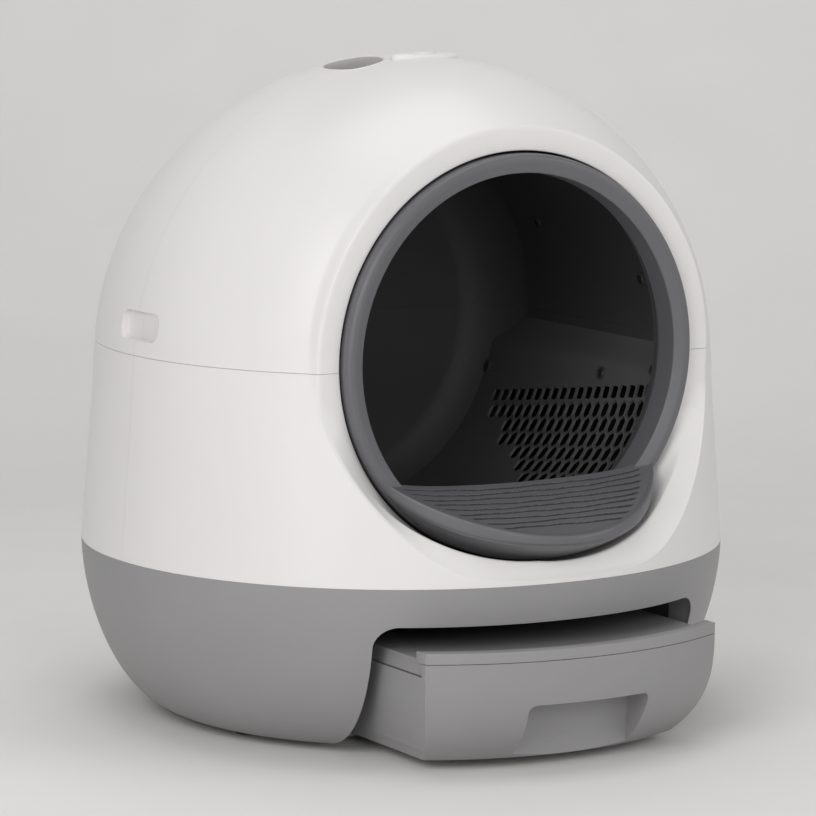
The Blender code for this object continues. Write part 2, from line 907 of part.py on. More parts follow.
def tread_grooves():
    """Anti-slip grooves across the step, shorter towards the rim."""
    builder = bmesh.new()
    for index in range(groove_count):
        along = ring_front - groove_margin / 2 - groove_pitch * index
        bow = (ring_front - along) / step_reach
        top = tread_height(along)
        chord = math.sqrt(step_radius(along) ** 2 - (drum_axis_height - top) ** 2)
        half = min(step_half_width * math.acos(bow) / quarter_turn, chord) - groove_margin
        rings = []
        for across_x in (-half, half):
            outline = [(along - groove_width / 2, top + groove_depth)]
            outline.append((along + groove_width / 2, top + groove_depth))
            outline.append((along, top - groove_depth))
            rings.append([(across_x, y, z) for y, z in outline])
        add_loft(builder, rings)
    return link_mesh("tread_grooves", builder)


# Sieve screen
def sieve_point(radius, angle):
    return Vector((radius * math.cos(angle), 0.0, drum_axis_height - radius * math.sin(angle)))


def sieve_outline():
    """A curved sheet whose two margins lean out to the drum's wall."""
    seat = drum_radius - drum_wall
    inner = [(sieve_top_angle, seat)]
    first, last = sieve_top_angle + sieve_margin_angle, sieve_bottom_angle - sieve_margin_angle
    for step in range(sieve_arc_steps + 1):
        inner.append((first + (last - first) * step / sieve_arc_steps, sieve_radius))
    inner.append((sieve_bottom_angle, seat))
    outer = [(angle, radius + sieve_thickness) for angle, radius in reversed(inner)]
    points = [sieve_point(radius, angle) for angle, radius in inner + outer]
    return [(point.x, point.z) for point in points]


def slot_outline(row):
    """Upright rounded slots in the first row, six-sided ones in the rows under it."""
    half_width, half_height = slot_width / 2, slot_height / 2
    if row == 0:
        corners = [(half_width, -half_height), (half_width, half_height)]
        corners += [(-a, -b) for a, b in corners]
        return softened(corners, [slot_corner] * len(corners), 1)
    corners = [(half_width, -half_height / 2), (half_width, half_height / 2), (0.0, half_height)]
    return corners + [(-a, -b) for a, b in corners]


def slot_cutters():
    """Staggered rows that fall towards the back, each one slot shorter there than the row above."""
    builder = bmesh.new()
    for row in range(slot_rows):
        outline = slot_outline(row)
        for column in range(slots_in_first_row - row):
            along = slot_pitch * (column + row % 2 / 2)
            down = slot_row_pitch * row + slot_row_slope * along
            angle = slot_first_angle + down / sieve_radius
            upwards = Vector((math.sin(angle), 0.0, math.cos(angle)))
            place = Vector((0.0, slot_first_y + along, 0.0))
            rings = []
            for radius in (sieve_radius - slot_reach, sieve_radius + slot_reach):
                middle = sieve_point(radius, angle) + place
                rings.append([middle + Vector((0.0, a, 0.0)) + upwards * b for a, b in outline])
            add_loft(builder, rings)
    return link_mesh("sieve_slots", builder)


def make_sieve_screen():
    sheet = prism("sieve_screen", "Y", sieve_outline(), drum_front, drum_back)
    keep_within(sheet, drum_spool("sieve_limit", drum_wall + seat_gap))
    cut(sheet, slot_cutters())
    return finish(sheet, "dark ring")


# Drive
def involute(base_radius, radius):
    """Turn of an involute flank at a radius."""
    if radius <= base_radius:
        return 0.0
    roll = math.sqrt((radius / base_radius) ** 2 - 1)
    return roll - math.atan(roll)


def gear_outline(teeth, centre, phase, flank_steps):
    """Involute stub teeth with a little backlash, tooth 0 pointing along the phase angle."""
    pitch_radius = gear_module * teeth / 2
    base = pitch_radius * math.cos(pressure_angle)
    root, tip = pitch_radius - tooth_dedendum, pitch_radius + tooth_addendum
    half_tooth = quarter_turn / teeth - tooth_backlash / (2 * pitch_radius)
    at_pitch = involute(base, pitch_radius)
    points = []
    for tooth in range(teeth):
        middle = phase + full_turn * tooth / teeth
        flank = []
        for step in range(flank_steps + 1):
            radius = root + (tip - root) * step / flank_steps
            flank.append((radius, half_tooth + at_pitch - involute(base, radius)))
        for side, run in ((-1, flank), (1, flank[::-1])):
            for radius, turn in run:
                angle = middle + side * turn
                x = centre[0] + radius * math.cos(angle)
                points.append((x, centre[1] + radius * math.sin(angle)))
    return points


def gear_tip_radius():
    return gear_module * ring_gear_teeth / 2 + tooth_addendum


def gear_centre_distance():
    return gear_module * (ring_gear_teeth + pinion_teeth) / 2


def pinion_centre():
    reach = gear_centre_distance()
    x = reach * math.cos(pinion_angle)
    return (x, drum_axis_height + reach * math.sin(pinion_angle))


def make_ring_gear():
    """A tooth of the ring points at the pinion, between two of its teeth."""
    low, high = gear_centre_y - gear_width / 2, gear_centre_y + gear_width / 2
    centre = (0.0, drum_axis_height)
    gear = prism("ring_gear", "Y", gear_outline(ring_gear_teeth, centre, pinion_angle, 1), low, high)
    bore = circle(drum_radius + seat_gap, drum_segments, centre)
    cut(gear, prism("gear_bore", "Y", bore, low - overrun, high + overrun))
    return finish(gear, "gear plastic")


def make_drive_pinion():
    low, high = gear_centre_y - pinion_width / 2, gear_centre_y + pinion_width / 2
    phase = pinion_angle + math.pi + math.pi / pinion_teeth
    outline = gear_outline(pinion_teeth, pinion_centre(), phase, 2)
    gear = prism("drive_pinion", "Y", outline, low, high)
    shaft = circle(pinion_shaft_radius, 12, pinion_centre())
    join(gear, prism("pinion_shaft", "Y", shaft, gear_centre_y, high + pinion_shaft_length))
    return finish(gear, "gear plastic")


def motor_front():
    return gear_centre_y + pinion_width / 2 + motor_bracket_plate + 2 * seat_gap + bracket_side_gap


def make_motor_bracket():
    """A plate with a round head, standing on the deck in front of the gear motor."""
    x, z = pinion_centre()
    foot = deck_bottom + deck_thickness + seat_gap
    side = motor_leg_half_width
    start = math.asin(side / motor_bracket_radius)
    sweep = full_turn - 2 * start
    outline = [(x - side, foot)]
    steps = 14
    for step in range(steps + 1):
        angle = -quarter_turn - start - sweep * step / steps
        px = x + motor_bracket_radius * math.cos(angle)
        outline.append((px, z + motor_bracket_radius * math.sin(angle)))
    outline.append((x + side, foot))
    back = motor_front() - seat_gap
    plate = prism("motor_bracket", "Y", outline, back - motor_bracket_plate, back)
    hole = circle(pinion_shaft_radius + bracket_side_gap, 12, (x, z))
    cut(plate, prism("bracket_hole", "Y", hole, 0.0, back + overrun))
    return finish(plate, "steel")


def make_gear_motor():
    front = motor_front()
    step = front + motor_gearbox_length
    end = step + motor_can_length
    chamfer = bracket_side_gap
    sections = [(front, motor_gearbox_radius), (step, motor_gearbox_radius)]
    sections += [(step + seat_gap, motor_can_radius), (end - chamfer, motor_can_radius)]
    sections.append((end, motor_can_radius - chamfer))
    motor = spool("gear_motor", "Y", pinion_centre(), sections, 18)
    socket = circle(pinion_shaft_radius + seat_gap, 12, pinion_centre())
    depth = gear_centre_y + pinion_width / 2 + pinion_shaft_length + seat_gap
    cut(motor, prism("motor_socket", "Y", socket, front - overrun, depth))
    return finish(motor, "steel")


# Support rollers
def roller_places():
    reach = drum_radius + roller_radius + seat_gap
    height = drum_axis_height - reach * math.cos(roller_spread)
    side = reach * math.sin(roller_spread)
    return {
        "front_left": (-side, roller_front_y, height),
        "front_right": (side, roller_front_y, height),
        "back_left": (-side, roller_back_y, height),
        "back_right": (side, roller_back_y, height),
    }


def make_rollers():
    for place, (x, y, z) in roller_places().items():
        half = roller_width / 2
        chamfer = axle_overhang / 2
        edge = roller_radius - chamfer
        profile = [(y - half, roller_bore_radius), (y - half, edge), (y, roller_radius)]
        profile += [(y + half, edge), (y + half, roller_bore_radius)]
        roller = turned_ring("roller_" + place, "Y", (x, z), profile, 14)
        finish(roller, "rubber")
        carry(roller, pivot("roller_axis_" + place, (x, y, z)))


def make_roller_axles():
    half = roller_width / 2 + bracket_side_gap + bracket_wall + axle_overhang
    for place, (x, y, z) in roller_places().items():
        sections = [(y - half, axle_radius), (y + half, axle_radius)]
        finish(spool("roller_axle_" + place, "Y", (x, z), sections, 10), "steel")


def make_roller_brackets():
    foot = deck_bottom + deck_thickness + seat_gap
    for place, (x, y, z) in roller_places().items():
        half = roller_width / 2 + bracket_side_gap + bracket_wall
        top = z + bracket_head_rise
        head = bracket_head_half_length
        outline = [(x - bracket_half_length, foot), (x + bracket_half_length, foot)]
        outline += [(x + head, top), (x - head, top)]
        outline = softened(outline, [0.0, 0.0, head / 2, head / 2], 1)
        bracket = prism("roller_bracket_" + place, "Y", outline, y - half, y + half)
        inner = half - bracket_wall
        reach = bracket_half_length + overrun
        slot = ((x - reach, y - inner, foot + bracket_wall), (x + reach, y + inner, top + overrun))
        cut(bracket, box("bracket_slot", slot[0], slot[1]))
        hole = circle(axle_radius + seat_gap, 10, (x, z))
        cut(bracket, prism("axle_hole", "Y", hole, y - half - overrun, y + half + overrun))
        finish(bracket, "inner plastic")


# Waste drawer, made where the rest position leaves it
def fascia_half_width(height):
    """The front keeps the body's plan at the lip and falls back towards the floor."""
    share = min(max(lip_top - height, 0) / (lip_top - foot_clearance), 1)
    return body_half_width_at(lip_top, 0.0) - fascia_fall * share**fascia_power


def fascia_ring(height, inset, segments):
    half_width = fascia_half_width(height)
    half_depth = half_width * body_half_depth / body_half_width
    ring = []
    for step in range(segments):
        azimuth = full_turn * step / segments
        radius = plan_radius(azimuth, half_width - inset, half_depth - inset)
        ring.append((radius * math.sin(azimuth), -drawer_pull - radius * math.cos(azimuth), height))
    return ring


def fascia_block(name, low, high, inset, segments=cavity_segments):
    """The pulled out front as a solid, with its rings closer near the floor."""
    steps = 6
    heights = [high - (high - low) * math.sqrt(step / steps) for step in range(steps, -1, -1)]
    return loft(name, [fascia_ring(height, inset, segments) for height in heights])


def drawer_side_outline(inset, low, top):
    """The tub seen from the front, in X and Z, with walls that turn in towards the floor."""
    steps = 5
    right = []
    for step in range(steps, -1, -1):
        height = drawer_side_top - (drawer_side_top - low) * math.sqrt(step / steps)
        share = (drawer_side_top - height) / (drawer_side_top - drawer_bottom)
        right.append((drawer_half_width - inset - drawer_lean * share**drawer_lean_power, height))
    right.append((drawer_half_width - inset, top))
    left = [(-across, height) for across, height in reversed(right)]
    plain = [0.0] * (len(right) - 1)
    return softened(right + left, [drawer_corner] + plain + plain + [drawer_corner])


def pull_outline(grow):
    low = drawer_bottom - overrun
    narrow, wide = pull_half_width - pull_taper + grow, pull_half_width + grow
    top = pull_top_height + grow
    outline = [(-narrow, low), (narrow, low), (wide, top), (-wide, top)]
    return softened(outline, [0.0, 0.0, pull_corner, pull_corner])


def pull_side_outline(front, back):
    """The finger recess seen from the side, in Y and Z, with a sill that rises from the front edge."""
    sill = -drawer_pull - fascia_half_width(drawer_bottom) * body_half_depth / body_half_width
    low, high = drawer_bottom - overrun, pull_top_height + overrun
    foot = drawer_bottom + pull_sill_rise
    return [(front, low), (sill, low), (sill, drawer_bottom), (back, foot), (back, high), (front, high)]


def make_waste_drawer():
    back = drawer_back - drawer_pull
    front = -body_half_depth - drawer_pull - overrun
    drawer = fascia_block("waste_drawer", drawer_bottom, drawer_front_top, 0.0, body_segments)
    outline = drawer_side_outline(0.0, drawer_bottom, drawer_front_top + overrun)
    keep_within(drawer, prism("drawer_sides", "Y", outline, front, back))
    cut(drawer, fascia_block("rim_cut", drawer_side_top, lip_top, fascia_wall))
    floor = foot_clearance + shell_wall + seat_gap
    inside = drawer_side_outline(drawer_wall, floor + drawer_wall, drawer_side_top + overrun)
    hollow = prism("drawer_hollow", "Y", inside, front, back - drawer_wall)
    keep_within(hollow, fascia_block("hollow_limit", floor, lip_top + overrun, fascia_wall))
    pull_back = -pull_back_depth - drawer_pull
    backing = prism("pull_backing", "Y", pull_outline(drawer_wall), front, pull_back + drawer_wall)
    cut(hollow, backing)
    cut(drawer, hollow)
    pull = prism("pull_cut", "Y", pull_outline(0.0), front - overrun, pull_back + overrun)
    reach = pull_half_width + overrun
    keep_within(pull, prism("pull_limit", "X", pull_side_outline(front, pull_back), -reach, reach))
    cut(drawer, pull)
    reach = body_half_width
    under = floor_front - drawer_pull - 2 * seat_gap
    cut(drawer, box("floor_clearance", (-reach, under, 0.0), (reach, back + overrun, floor)))
    return finish(drawer, "grey base")


def make_bag_frame():
    """The frame that clamps the bag: a plate with side skirts, and a lip over the fascia."""
    back = drawer_back - drawer_pull
    front = -body_half_depth - drawer_pull - overrun
    low = drawer_side_top + seat_gap
    frame = fascia_block("bag_frame", low, frame_top, fascia_wall + seat_gap)
    wide = frame_half_width
    keep_within(frame, box("frame_sides", (-wide, front, 0.0), (wide, back, lip_top)))
    lip_low = drawer_front_top + seat_gap
    lip = fascia_block("frame_lip", lip_low, lip_top, 0.0, body_segments)
    lip_back = -(body_half_depth - drawer_half_width / 3) - drawer_pull / 2
    sides = drawer_half_width
    keep_within(lip, box("lip_sides", (-sides, front, 0.0), (sides, lip_back, lip_top + overrun)))
    cut(lip, fascia_block("lip_inside", drawer_side_top, lip_top + overrun, lip_band))
    join(frame, lip)
    roof, wall = frame_top - frame_wall, lip_band + frame_wall
    pocket = fascia_block("frame_pocket", low - overrun, roof, wall)
    inner = frame_half_width - frame_wall
    keep_within(pocket, box("pocket_sides", (-inner, front, 0.0), (inner, back - frame_wall, lip_top)))
    cut(frame, pocket)
    half_length = frame_hole_half_length
    hole = rounded_box_outline(frame_hole_half_width, half_length, chute_corner, (0.0, -drawer_pull))
    cut(frame, prism("bag_hole", "Z", hole, low, lip_top + overrun))
    return finish(frame, "grey base")


# Controls and electrics
def pad_outline(inset):
    return oval(pad_half_width - inset, pad_half_length - inset, pad_place())


def pad_rings(sections):
    return [[(a, b, height) for a, b in pad_outline(inset)] for height, inset in sections]


def make_control_pad():
    edge = pad_skirt / 2
    sections = [(pad_base_height, 0.0), (pad_rim_height - edge, 0.0)]
    sections.append((pad_rim_height, edge / 2))
    sections.append((pad_crown_height, 2 * edge))
    pad = loft("control_pad", pad_rings(sections))
    low, roof = pad_base_height - overrun, pad_roof_height
    cut(pad, prism("pad_hollow", "Z", pad_outline(pad_skirt), low, roof))
    top = pad_crown_height + overrun
    well = circle(button_radius + seat_gap, 16, pad_place())
    cut(pad, prism("button_well", "Z", well, button_seat(), top))
    stem = circle(button_stem_radius + seat_gap, 10, pad_place())
    cut(pad, prism("stem_hole", "Z", stem, pad_roof_height - overrun, top))
    return finish(pad, "white shell")


def button_seat():
    """Floor of the well, which the cap stops short of when it is pressed."""
    return pad_crown_height + button_proud - button_cap_height - button_travel - seat_gap


def make_push_button():
    top = pad_crown_height + button_proud
    under = top - button_cap_height
    foot = board_top() + button_travel + seat_gap
    sections = [(foot, button_stem_radius), (under, button_stem_radius)]
    sections += [(under + seat_gap, button_radius), (top - button_proud, button_radius)]
    sections.append((top, button_radius - button_proud))
    button = spool("push_button", "Z", pad_place(), sections, 16)
    finish(button, "dark ring")
    return carry(button, pivot("button_axis", (0.0, pad_centre_y, top)))


def board_top():
    return pad_base_height + 2 * board_thickness


def make_control_board():
    inset = pad_skirt + seat_gap
    sections = [(board_top() - board_thickness, inset), (board_top(), inset)]
    return finish(loft("control_board", pad_rings(sections)), "board")


def make_driver_board():
    near = bay_back + bay_wall + seat_gap
    low = (-driver_board_half_width, near, driver_board_bottom)
    high = (driver_board_half_width, near + board_thickness, driver_board_top)
    return finish(box("driver_board", low, high), "board")


def make_power_inlet():
    """A round socket whose flange lies against the inside of the tub."""
    centre = (0.0, inlet_height)
    wall = body_radius(math.pi, inlet_height)
    mouth = wall + inlet_flange_thickness
    start = mouth - inlet_body_length
    inlet = spool("power_inlet", "Y", centre, [(start, inlet_radius), (mouth, inlet_radius)], 14)
    collar = wall - shell_wall - 2 * inlet_flange_thickness
    flange = circle(inlet_flange_radius, 14, centre)
    flange = prism("inlet_flange", "Y", flange, collar, wall)
    inset = shell_wall + seat_gap
    reach = 2 * inlet_flange_radius
    keep_within(flange, inner_bowl("flange_limit", inlet_height - reach, inlet_height + reach, inset))
    join(inlet, flange)
    bore = circle(inlet_bore_radius, 12, centre)
    cut(inlet, prism("inlet_bore", "Y", bore, mouth - inlet_bore_depth, mouth + overrun))
    return finish(inlet, "inner plastic")


# Places the whole model
def set_origin():
    """Moves everything so that the origin lies under the middle of the outline from above."""
    lip_reach = body_radius(0.0, lip_top) + drawer_pull
    middle = (lip_reach - body_half_depth) / 2
    marker = pivot("plan_centre", (0.0, middle, 0.0))
    for item in list(bpy.context.scene.objects):
        if item is not marker and item.parent is None:
            item.parent = marker


def build():
    clear_scene()
    make_base_tub()
    make_drawer_bay()
    make_chassis_deck()
    make_chute_seal()
    make_feet()
    make_load_cells()
    make_lower_housing()
    make_upper_housing()
    make_control_pad()
    make_push_button()
    make_control_board()
    make_status_panel()
    make_driver_board()
    make_power_inlet()
    make_motor_bracket()
    make_gear_motor()
    make_roller_brackets()
    make_roller_axles()
    make_rollers()
    drum_axis = pivot("drum_axis", (0.0, 0.0, drum_axis_height))
    carry(make_drum_shell("drum_lower_shell", True), drum_axis)
    carry(make_drum_shell("drum_upper_shell", False), drum_axis)
    carry(make_entry_ring(), drum_axis)
    carry(make_sieve_screen(), drum_axis)
    carry(make_ring_gear(), drum_axis)
    x, z = pinion_centre()
    carry(make_drive_pinion(), pivot("pinion_axis", (x, gear_centre_y, z)))
    drawer_origin = pivot("drawer_origin", (0.0, -drawer_pull, foot_clearance))
    carry(make_waste_drawer(), drawer_origin)
    carry(make_bag_frame(), drawer_origin)
    set_origin()


build()
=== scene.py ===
import math

import bmesh
import bpy
import numpy as np
from mathutils import Matrix, Vector


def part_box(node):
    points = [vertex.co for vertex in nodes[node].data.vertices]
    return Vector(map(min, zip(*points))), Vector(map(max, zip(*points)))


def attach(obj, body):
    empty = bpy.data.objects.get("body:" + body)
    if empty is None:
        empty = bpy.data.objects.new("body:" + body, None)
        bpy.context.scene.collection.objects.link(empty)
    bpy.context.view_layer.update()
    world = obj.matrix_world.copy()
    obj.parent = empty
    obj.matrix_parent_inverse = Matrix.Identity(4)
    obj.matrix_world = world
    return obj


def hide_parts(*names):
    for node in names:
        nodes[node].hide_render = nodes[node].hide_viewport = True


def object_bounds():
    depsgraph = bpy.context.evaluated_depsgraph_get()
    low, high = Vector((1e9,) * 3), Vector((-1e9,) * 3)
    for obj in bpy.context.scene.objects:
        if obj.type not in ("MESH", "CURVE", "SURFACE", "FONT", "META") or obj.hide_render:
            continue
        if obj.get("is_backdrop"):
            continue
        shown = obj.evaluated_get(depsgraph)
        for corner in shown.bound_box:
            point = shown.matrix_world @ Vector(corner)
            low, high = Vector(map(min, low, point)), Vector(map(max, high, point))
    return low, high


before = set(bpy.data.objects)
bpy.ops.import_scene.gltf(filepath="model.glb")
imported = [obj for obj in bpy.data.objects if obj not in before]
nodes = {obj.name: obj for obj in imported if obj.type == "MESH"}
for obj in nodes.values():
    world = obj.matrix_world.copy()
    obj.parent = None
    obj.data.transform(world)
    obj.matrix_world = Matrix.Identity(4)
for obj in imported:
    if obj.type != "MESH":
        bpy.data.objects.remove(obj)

cad_low, cad_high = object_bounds()

# Base tub: the grey bowl under the drum, injection moulded in one piece with a fine spark grain.
# Its plan is a slightly squared ellipse, its wall curves in to a flat floor, and the front is cut
# out for the waste drawer, with a jamb round the opening.
tub_low, tub_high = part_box("base_tub")
body_half_width = tub_high.x
body_half_depth = (tub_high.y - tub_low.y) / 2
body_middle_y = (tub_high.y + tub_low.y) / 2
parting_height = tub_high.z
tub_floor = tub_low.z
floor_radius = 0.193
bowl_power = 1.76
plan_power = 2.06
shell_wall = 0.003
body_steps_round = 256
grey_colour = (0.288, 0.281, 0.283)


def plan_radius(azimuth, half_width):
    """Distance from the middle to the body's outline in plan, azimuth 0 being the front."""
    half_depth = half_width * body_half_depth / body_half_width
    sideways = np.abs(np.sin(azimuth)) / half_width
    lengthways = np.abs(np.cos(azimuth)) / half_depth
    return (sideways**plan_power + lengthways**plan_power) ** (-1 / plan_power)


def bowl_profile(low, high, steps):
    """Heights and half widths up the bowl, closer together where it curves most."""
    depth = parting_height - tub_floor
    turns = np.linspace(math.pi / 2, 0.0, steps)
    heights = parting_height - depth * np.sin(turns) ** (2 / bowl_power)
    heights = np.concatenate([[low], heights[(heights > low) & (heights < high)], [high]])
    drops = np.clip((parting_height - heights) / depth, 0, 1)
    reach = (1 - drops**bowl_power) ** (1 / bowl_power)
    return heights, floor_radius + (body_half_width - floor_radius) * reach


def bowl_rows(low, high, inset, steps=36):
    azimuths = np.linspace(0, 2 * math.pi, body_steps_round, endpoint=False)
    rows = []
    for height, half_width in zip(*bowl_profile(low, high, steps)):
        radii = plan_radius(azimuths, half_width - inset)
        x, y = radii * np.sin(azimuths), body_middle_y - radii * np.cos(azimuths)
        rows.append(np.stack([x, y, np.full_like(x, height)], 1))
    return rows


def skin(name, rows, first_cap=False, last_cap=False):
    """A surface over rows of points that each close round, facing away from its middle."""
    rows = np.asarray(rows, float)
    count, around, _ = rows.shape
    faces = []
    for row in range(count - 1):
        here, above = row * around, (row + 1) * around
        for step in range(around):
            after = (step + 1) % around
            faces.append((here + step, here + after, above + after, above + step))
    if first_cap:
        faces.append(tuple(range(around)))
    if last_cap:
        faces.append(tuple(range((count - 1) * around, count * around)))
    mesh = bpy.data.meshes.new(name)
    mesh.from_pydata(rows.reshape(-1, 3).tolist(), [], faces)
    builder = bmesh.new()
    builder.from_mesh(mesh)
    bmesh.ops.recalc_face_normals(builder, faces=builder.faces)
    if not (first_cap and last_cap):
        middle = Vector(rows.reshape(-1, 3).mean(0))
        outward = sum((f.calc_center_median() - middle).dot(f.normal) for f in builder.faces)
        if outward < 0:
            bmesh.ops.reverse_faces(builder, faces=builder.faces)
    builder.to_mesh(mesh)
    builder.free()
    item = bpy.data.objects.new(name, mesh)
    bpy.context.scene.collection.objects.link(item)
    return item


def settle(item):
    """Makes the result of a piece's modifiers its own mesh."""
    bpy.context.view_layer.update()
    graph = bpy.context.evaluated_depsgraph_get()
    mesh = bpy.data.meshes.new_from_object(item.evaluated_get(graph))
    item.modifiers.clear()
    item.data = mesh
    return item


def thicken(item, wall):
    modifier = item.modifiers.new("wall", "SOLIDIFY")
    modifier.thickness = wall
    modifier.offset = -1
    modifier.use_even_offset = True
    return settle(item)


def carve(item, other, operation="DIFFERENCE"):
    """Cuts, joins or trims a piece by another, which is used up."""
    modifier = item.modifiers.new("carve", "BOOLEAN")
    modifier.operation = operation
    modifier.solver = "EXACT"
    modifier.object = other
    settle(item)
    bpy.data.objects.remove(other, do_unlink=True)
    return item


def round_edges(item, width, steps=3, degrees=35):
    """The small radius that every moulded edge has."""
    modifier = item.modifiers.new("edge", "BEVEL")
    modifier.width = width
    modifier.segments = steps
    modifier.limit_method = "ANGLE"
    modifier.angle_limit = math.radians(degrees)
    modifier.use_clamp_overlap = True
    modifier.harden_normals = False
    return settle(item)


def rounded(outline, radii, steps=8):
    """An outline with each corner rounded by its own radius, where that isn't zero."""
    points = []
    for here, radius in enumerate(radii):
        corner = Vector(outline[here])
        if not radius:
            points.append(tuple(corner))
            continue
        before = (Vector(outline[here - 1]) - corner).normalized()
        after = (Vector(outline[(here + 1) % len(outline)]) - corner).normalized()
        half_angle = before.angle(after) / 2
        reach = radius / math.tan(half_angle)
        middle = corner + (before + after).normalized() * (radius / math.sin(half_angle))
        first, last = corner + before * reach - middle, corner + after * reach - middle
        for step in range(steps + 1):
            points.append(tuple(middle + first.lerp(last, step / steps).normalized() * radius))
    return points


def extruded(name, axis, outline, start, end):
    """A solid with one outline all along X, Y or Z."""
    rows = []
    for along in (start, end):
        if axis == "X":
            rows.append([(along, a, b) for a, b in outline])
        elif axis == "Y":
            rows.append([(a, along, b) for a, b in outline])
        else:
            rows.append([(a, b, along) for a, b in outline])
    return skin(name, rows, True, True)


def ellipse(half_width, half_length, centre, steps=48):
    turns = [2 * math.pi * step / steps for step in range(steps)]
    x, y = centre
    return [(x + half_width * math.cos(a), y + half_length * math.sin(a)) for a in turns]


cloud_scale, cloud_detail, cloud_low, cloud_high = 9, 3, 0.3, 0.7
grain_detail, grain_strength, gloss_spread = 4, 0.5, 0.05


def add_node(tree, kind, **values):
    """A shader node with some of its inputs set."""
    node = tree.nodes.new("ShaderNode" + kind)
    for name, value in values.items():
        node.inputs[name.replace("_", " ")].default_value = value
    return node


def moulded_plastic(name, colour, roughness, grain_size, grain_depth, mottle=0.03, gloss=0.5):
    """Moulded plastic: faint uneven tone, a spark-eroded grain and a slightly uneven gloss."""
    material = bpy.data.materials.new(name)
    material.use_nodes = True
    tree = material.node_tree
    shader = tree.nodes["Principled BSDF"]
    shader.inputs["Specular IOR Level"].default_value = gloss
    place = add_node(tree, "TexCoord")
    cloud = add_node(tree, "TexNoise", Scale=cloud_scale, Detail=cloud_detail)
    tone = add_node(tree, "ValToRGB")
    tone.color_ramp.elements[0].position = cloud_low
    tone.color_ramp.elements[1].position = cloud_high
    tone.color_ramp.elements[0].color = (*(c * (1 - mottle) for c in colour), 1)
    tone.color_ramp.elements[1].color = (*(min(c * (1 + mottle), 1) for c in colour), 1)
    grain = add_node(tree, "TexNoise", Scale=1 / grain_size, Detail=grain_detail)
    least, most = roughness - gloss_spread, roughness + gloss_spread
    sheen = add_node(tree, "MapRange", To_Min=least, To_Max=most)
    bump = add_node(tree, "Bump", Strength=grain_strength, Distance=grain_depth)
    link = tree.links.new
    link(place.outputs["Object"], cloud.inputs["Vector"])
    link(place.outputs["Object"], grain.inputs["Vector"])
    link(cloud.outputs["Fac"], tone.inputs["Fac"])
    link(tone.outputs["Color"], shader.inputs["Base Color"])
    link(grain.outputs["Fac"], sheen.inputs["Value"])
    link(sheen.outputs["Result"], shader.inputs["Roughness"])
    link(grain.outputs["Fac"], bump.inputs["Height"])
    link(bump.outputs["Normal"], shader.inputs["Normal"])
    return material


def mount(item, material, slot, body, *replaced, degrees=30):
    """Gives a finished piece its finish and the body it moves with."""
    item.data.materials.clear()
    item.data.materials.append(material)
    item.data.shade_smooth()
    item.data.set_sharp_from_angle(angle=math.radians(degrees))
    if replaced:
        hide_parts(*replaced)
    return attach(item, body)


grey_plastic = moulded_plastic(
    "grained grey plastic", grey_colour, roughness=0.46, grain_size=0.0011, grain_depth=0.00010
)
bay_front = -0.118
opening_floor_half_width = 0.141
opening_half_width = 0.149
opening_top = 0.112
opening_corner = 0.016
jamb_back = -0.178
inlet_height = 0.060
inlet_radius = 0.0088

tub = skin("base_tub_shell", bowl_rows(tub_floor, parting_height, 0.0), True)
thicken(tub, shell_wall)


def opening_outline(grow):
    floor_width, width = opening_floor_half_width + grow, opening_half_width + grow
    outline = [(-floor_width, -tub_floor), (floor_width, -tub_floor)]
    outline += [(width, opening_top + grow), (-width, opening_top + grow)]
    return rounded(outline, [0, 0, opening_corner + grow, opening_corner + grow])


before_tub, jamb_end = tub_low.y - shell_wall, body_middle_y + jamb_back
opening = extruded("opening", "Y", opening_outline(0), before_tub, body_middle_y + bay_front)
carve(tub, opening)
socket_hole = ellipse(inlet_radius, inlet_radius, (0.0, inlet_height), 32)
carve(tub, extruded("socket_hole", "Y", socket_hole, body_middle_y, tub_high.y + shell_wall))
mount(tub, grey_plastic, "grey_base", "housing", "base_tub")
jamb = extruded("opening_jamb", "Y", opening_outline(shell_wall), tub_low.y, jamb_end)
carve(jamb, extruded("passage", "Y", opening_outline(0), before_tub, body_middle_y))
tub_solid = skin("tub_solid", bowl_rows(tub_floor, parting_height, shell_wall / 2), True, True)
carve(jamb, tub_solid, "INTERSECT")
mount(jamb, grey_plastic, "grey_base", "housing")

# Feet and load cells: four soft rubber pads under the floor, and over each a bent metal bar that
# weighs what stands in the box. The bars are cut from plate and lie flat on the tub's floor.
rubber_colour, steel_colour = (0.030, 0.030, 0.032), (0.56, 0.56, 0.57)
rubber = moulded_plastic(
    "soft black rubber", rubber_colour, roughness=0.78,
    grain_size=0.0016, grain_depth=0.00012, mottle=0.08, gloss=0.3,
)
bar_metal = moulded_plastic(
    "drawn steel", steel_colour, roughness=0.32, grain_size=0.0008, grain_depth=0.00003, mottle=0.04
)
bar_metal.node_tree.nodes["Principled BSDF"].inputs["Metallic"].default_value = 1.0


def dress(name, material):
    """Gives a piece that keeps its shape from the frame its finish."""
    nodes[name].data.materials.clear()
    nodes[name].data.materials.append(material)


corners = ("front_left", "front_right", "back_left", "back_right")
for corner in corners:
    dress("foot_" + corner, rubber)
    dress("load_cell_" + corner, bar_metal)

# Drawer bay, deck and chute seal: plain dark mouldings inside the base. The bay walls keep litter
# off the workings, the deck carries the rollers, and the soft lip closes the chute to the drum.
inner_colour = (0.060, 0.060, 0.062)
inner_plastic = moulded_plastic(
    "plain dark plastic", inner_colour, roughness=0.55,
    grain_size=0.0014, grain_depth=0.00010, mottle=0.05,
)
for name in ("drawer_bay", "chassis_deck"):
    dress(name, inner_plastic)
dress("chute_seal", rubber)

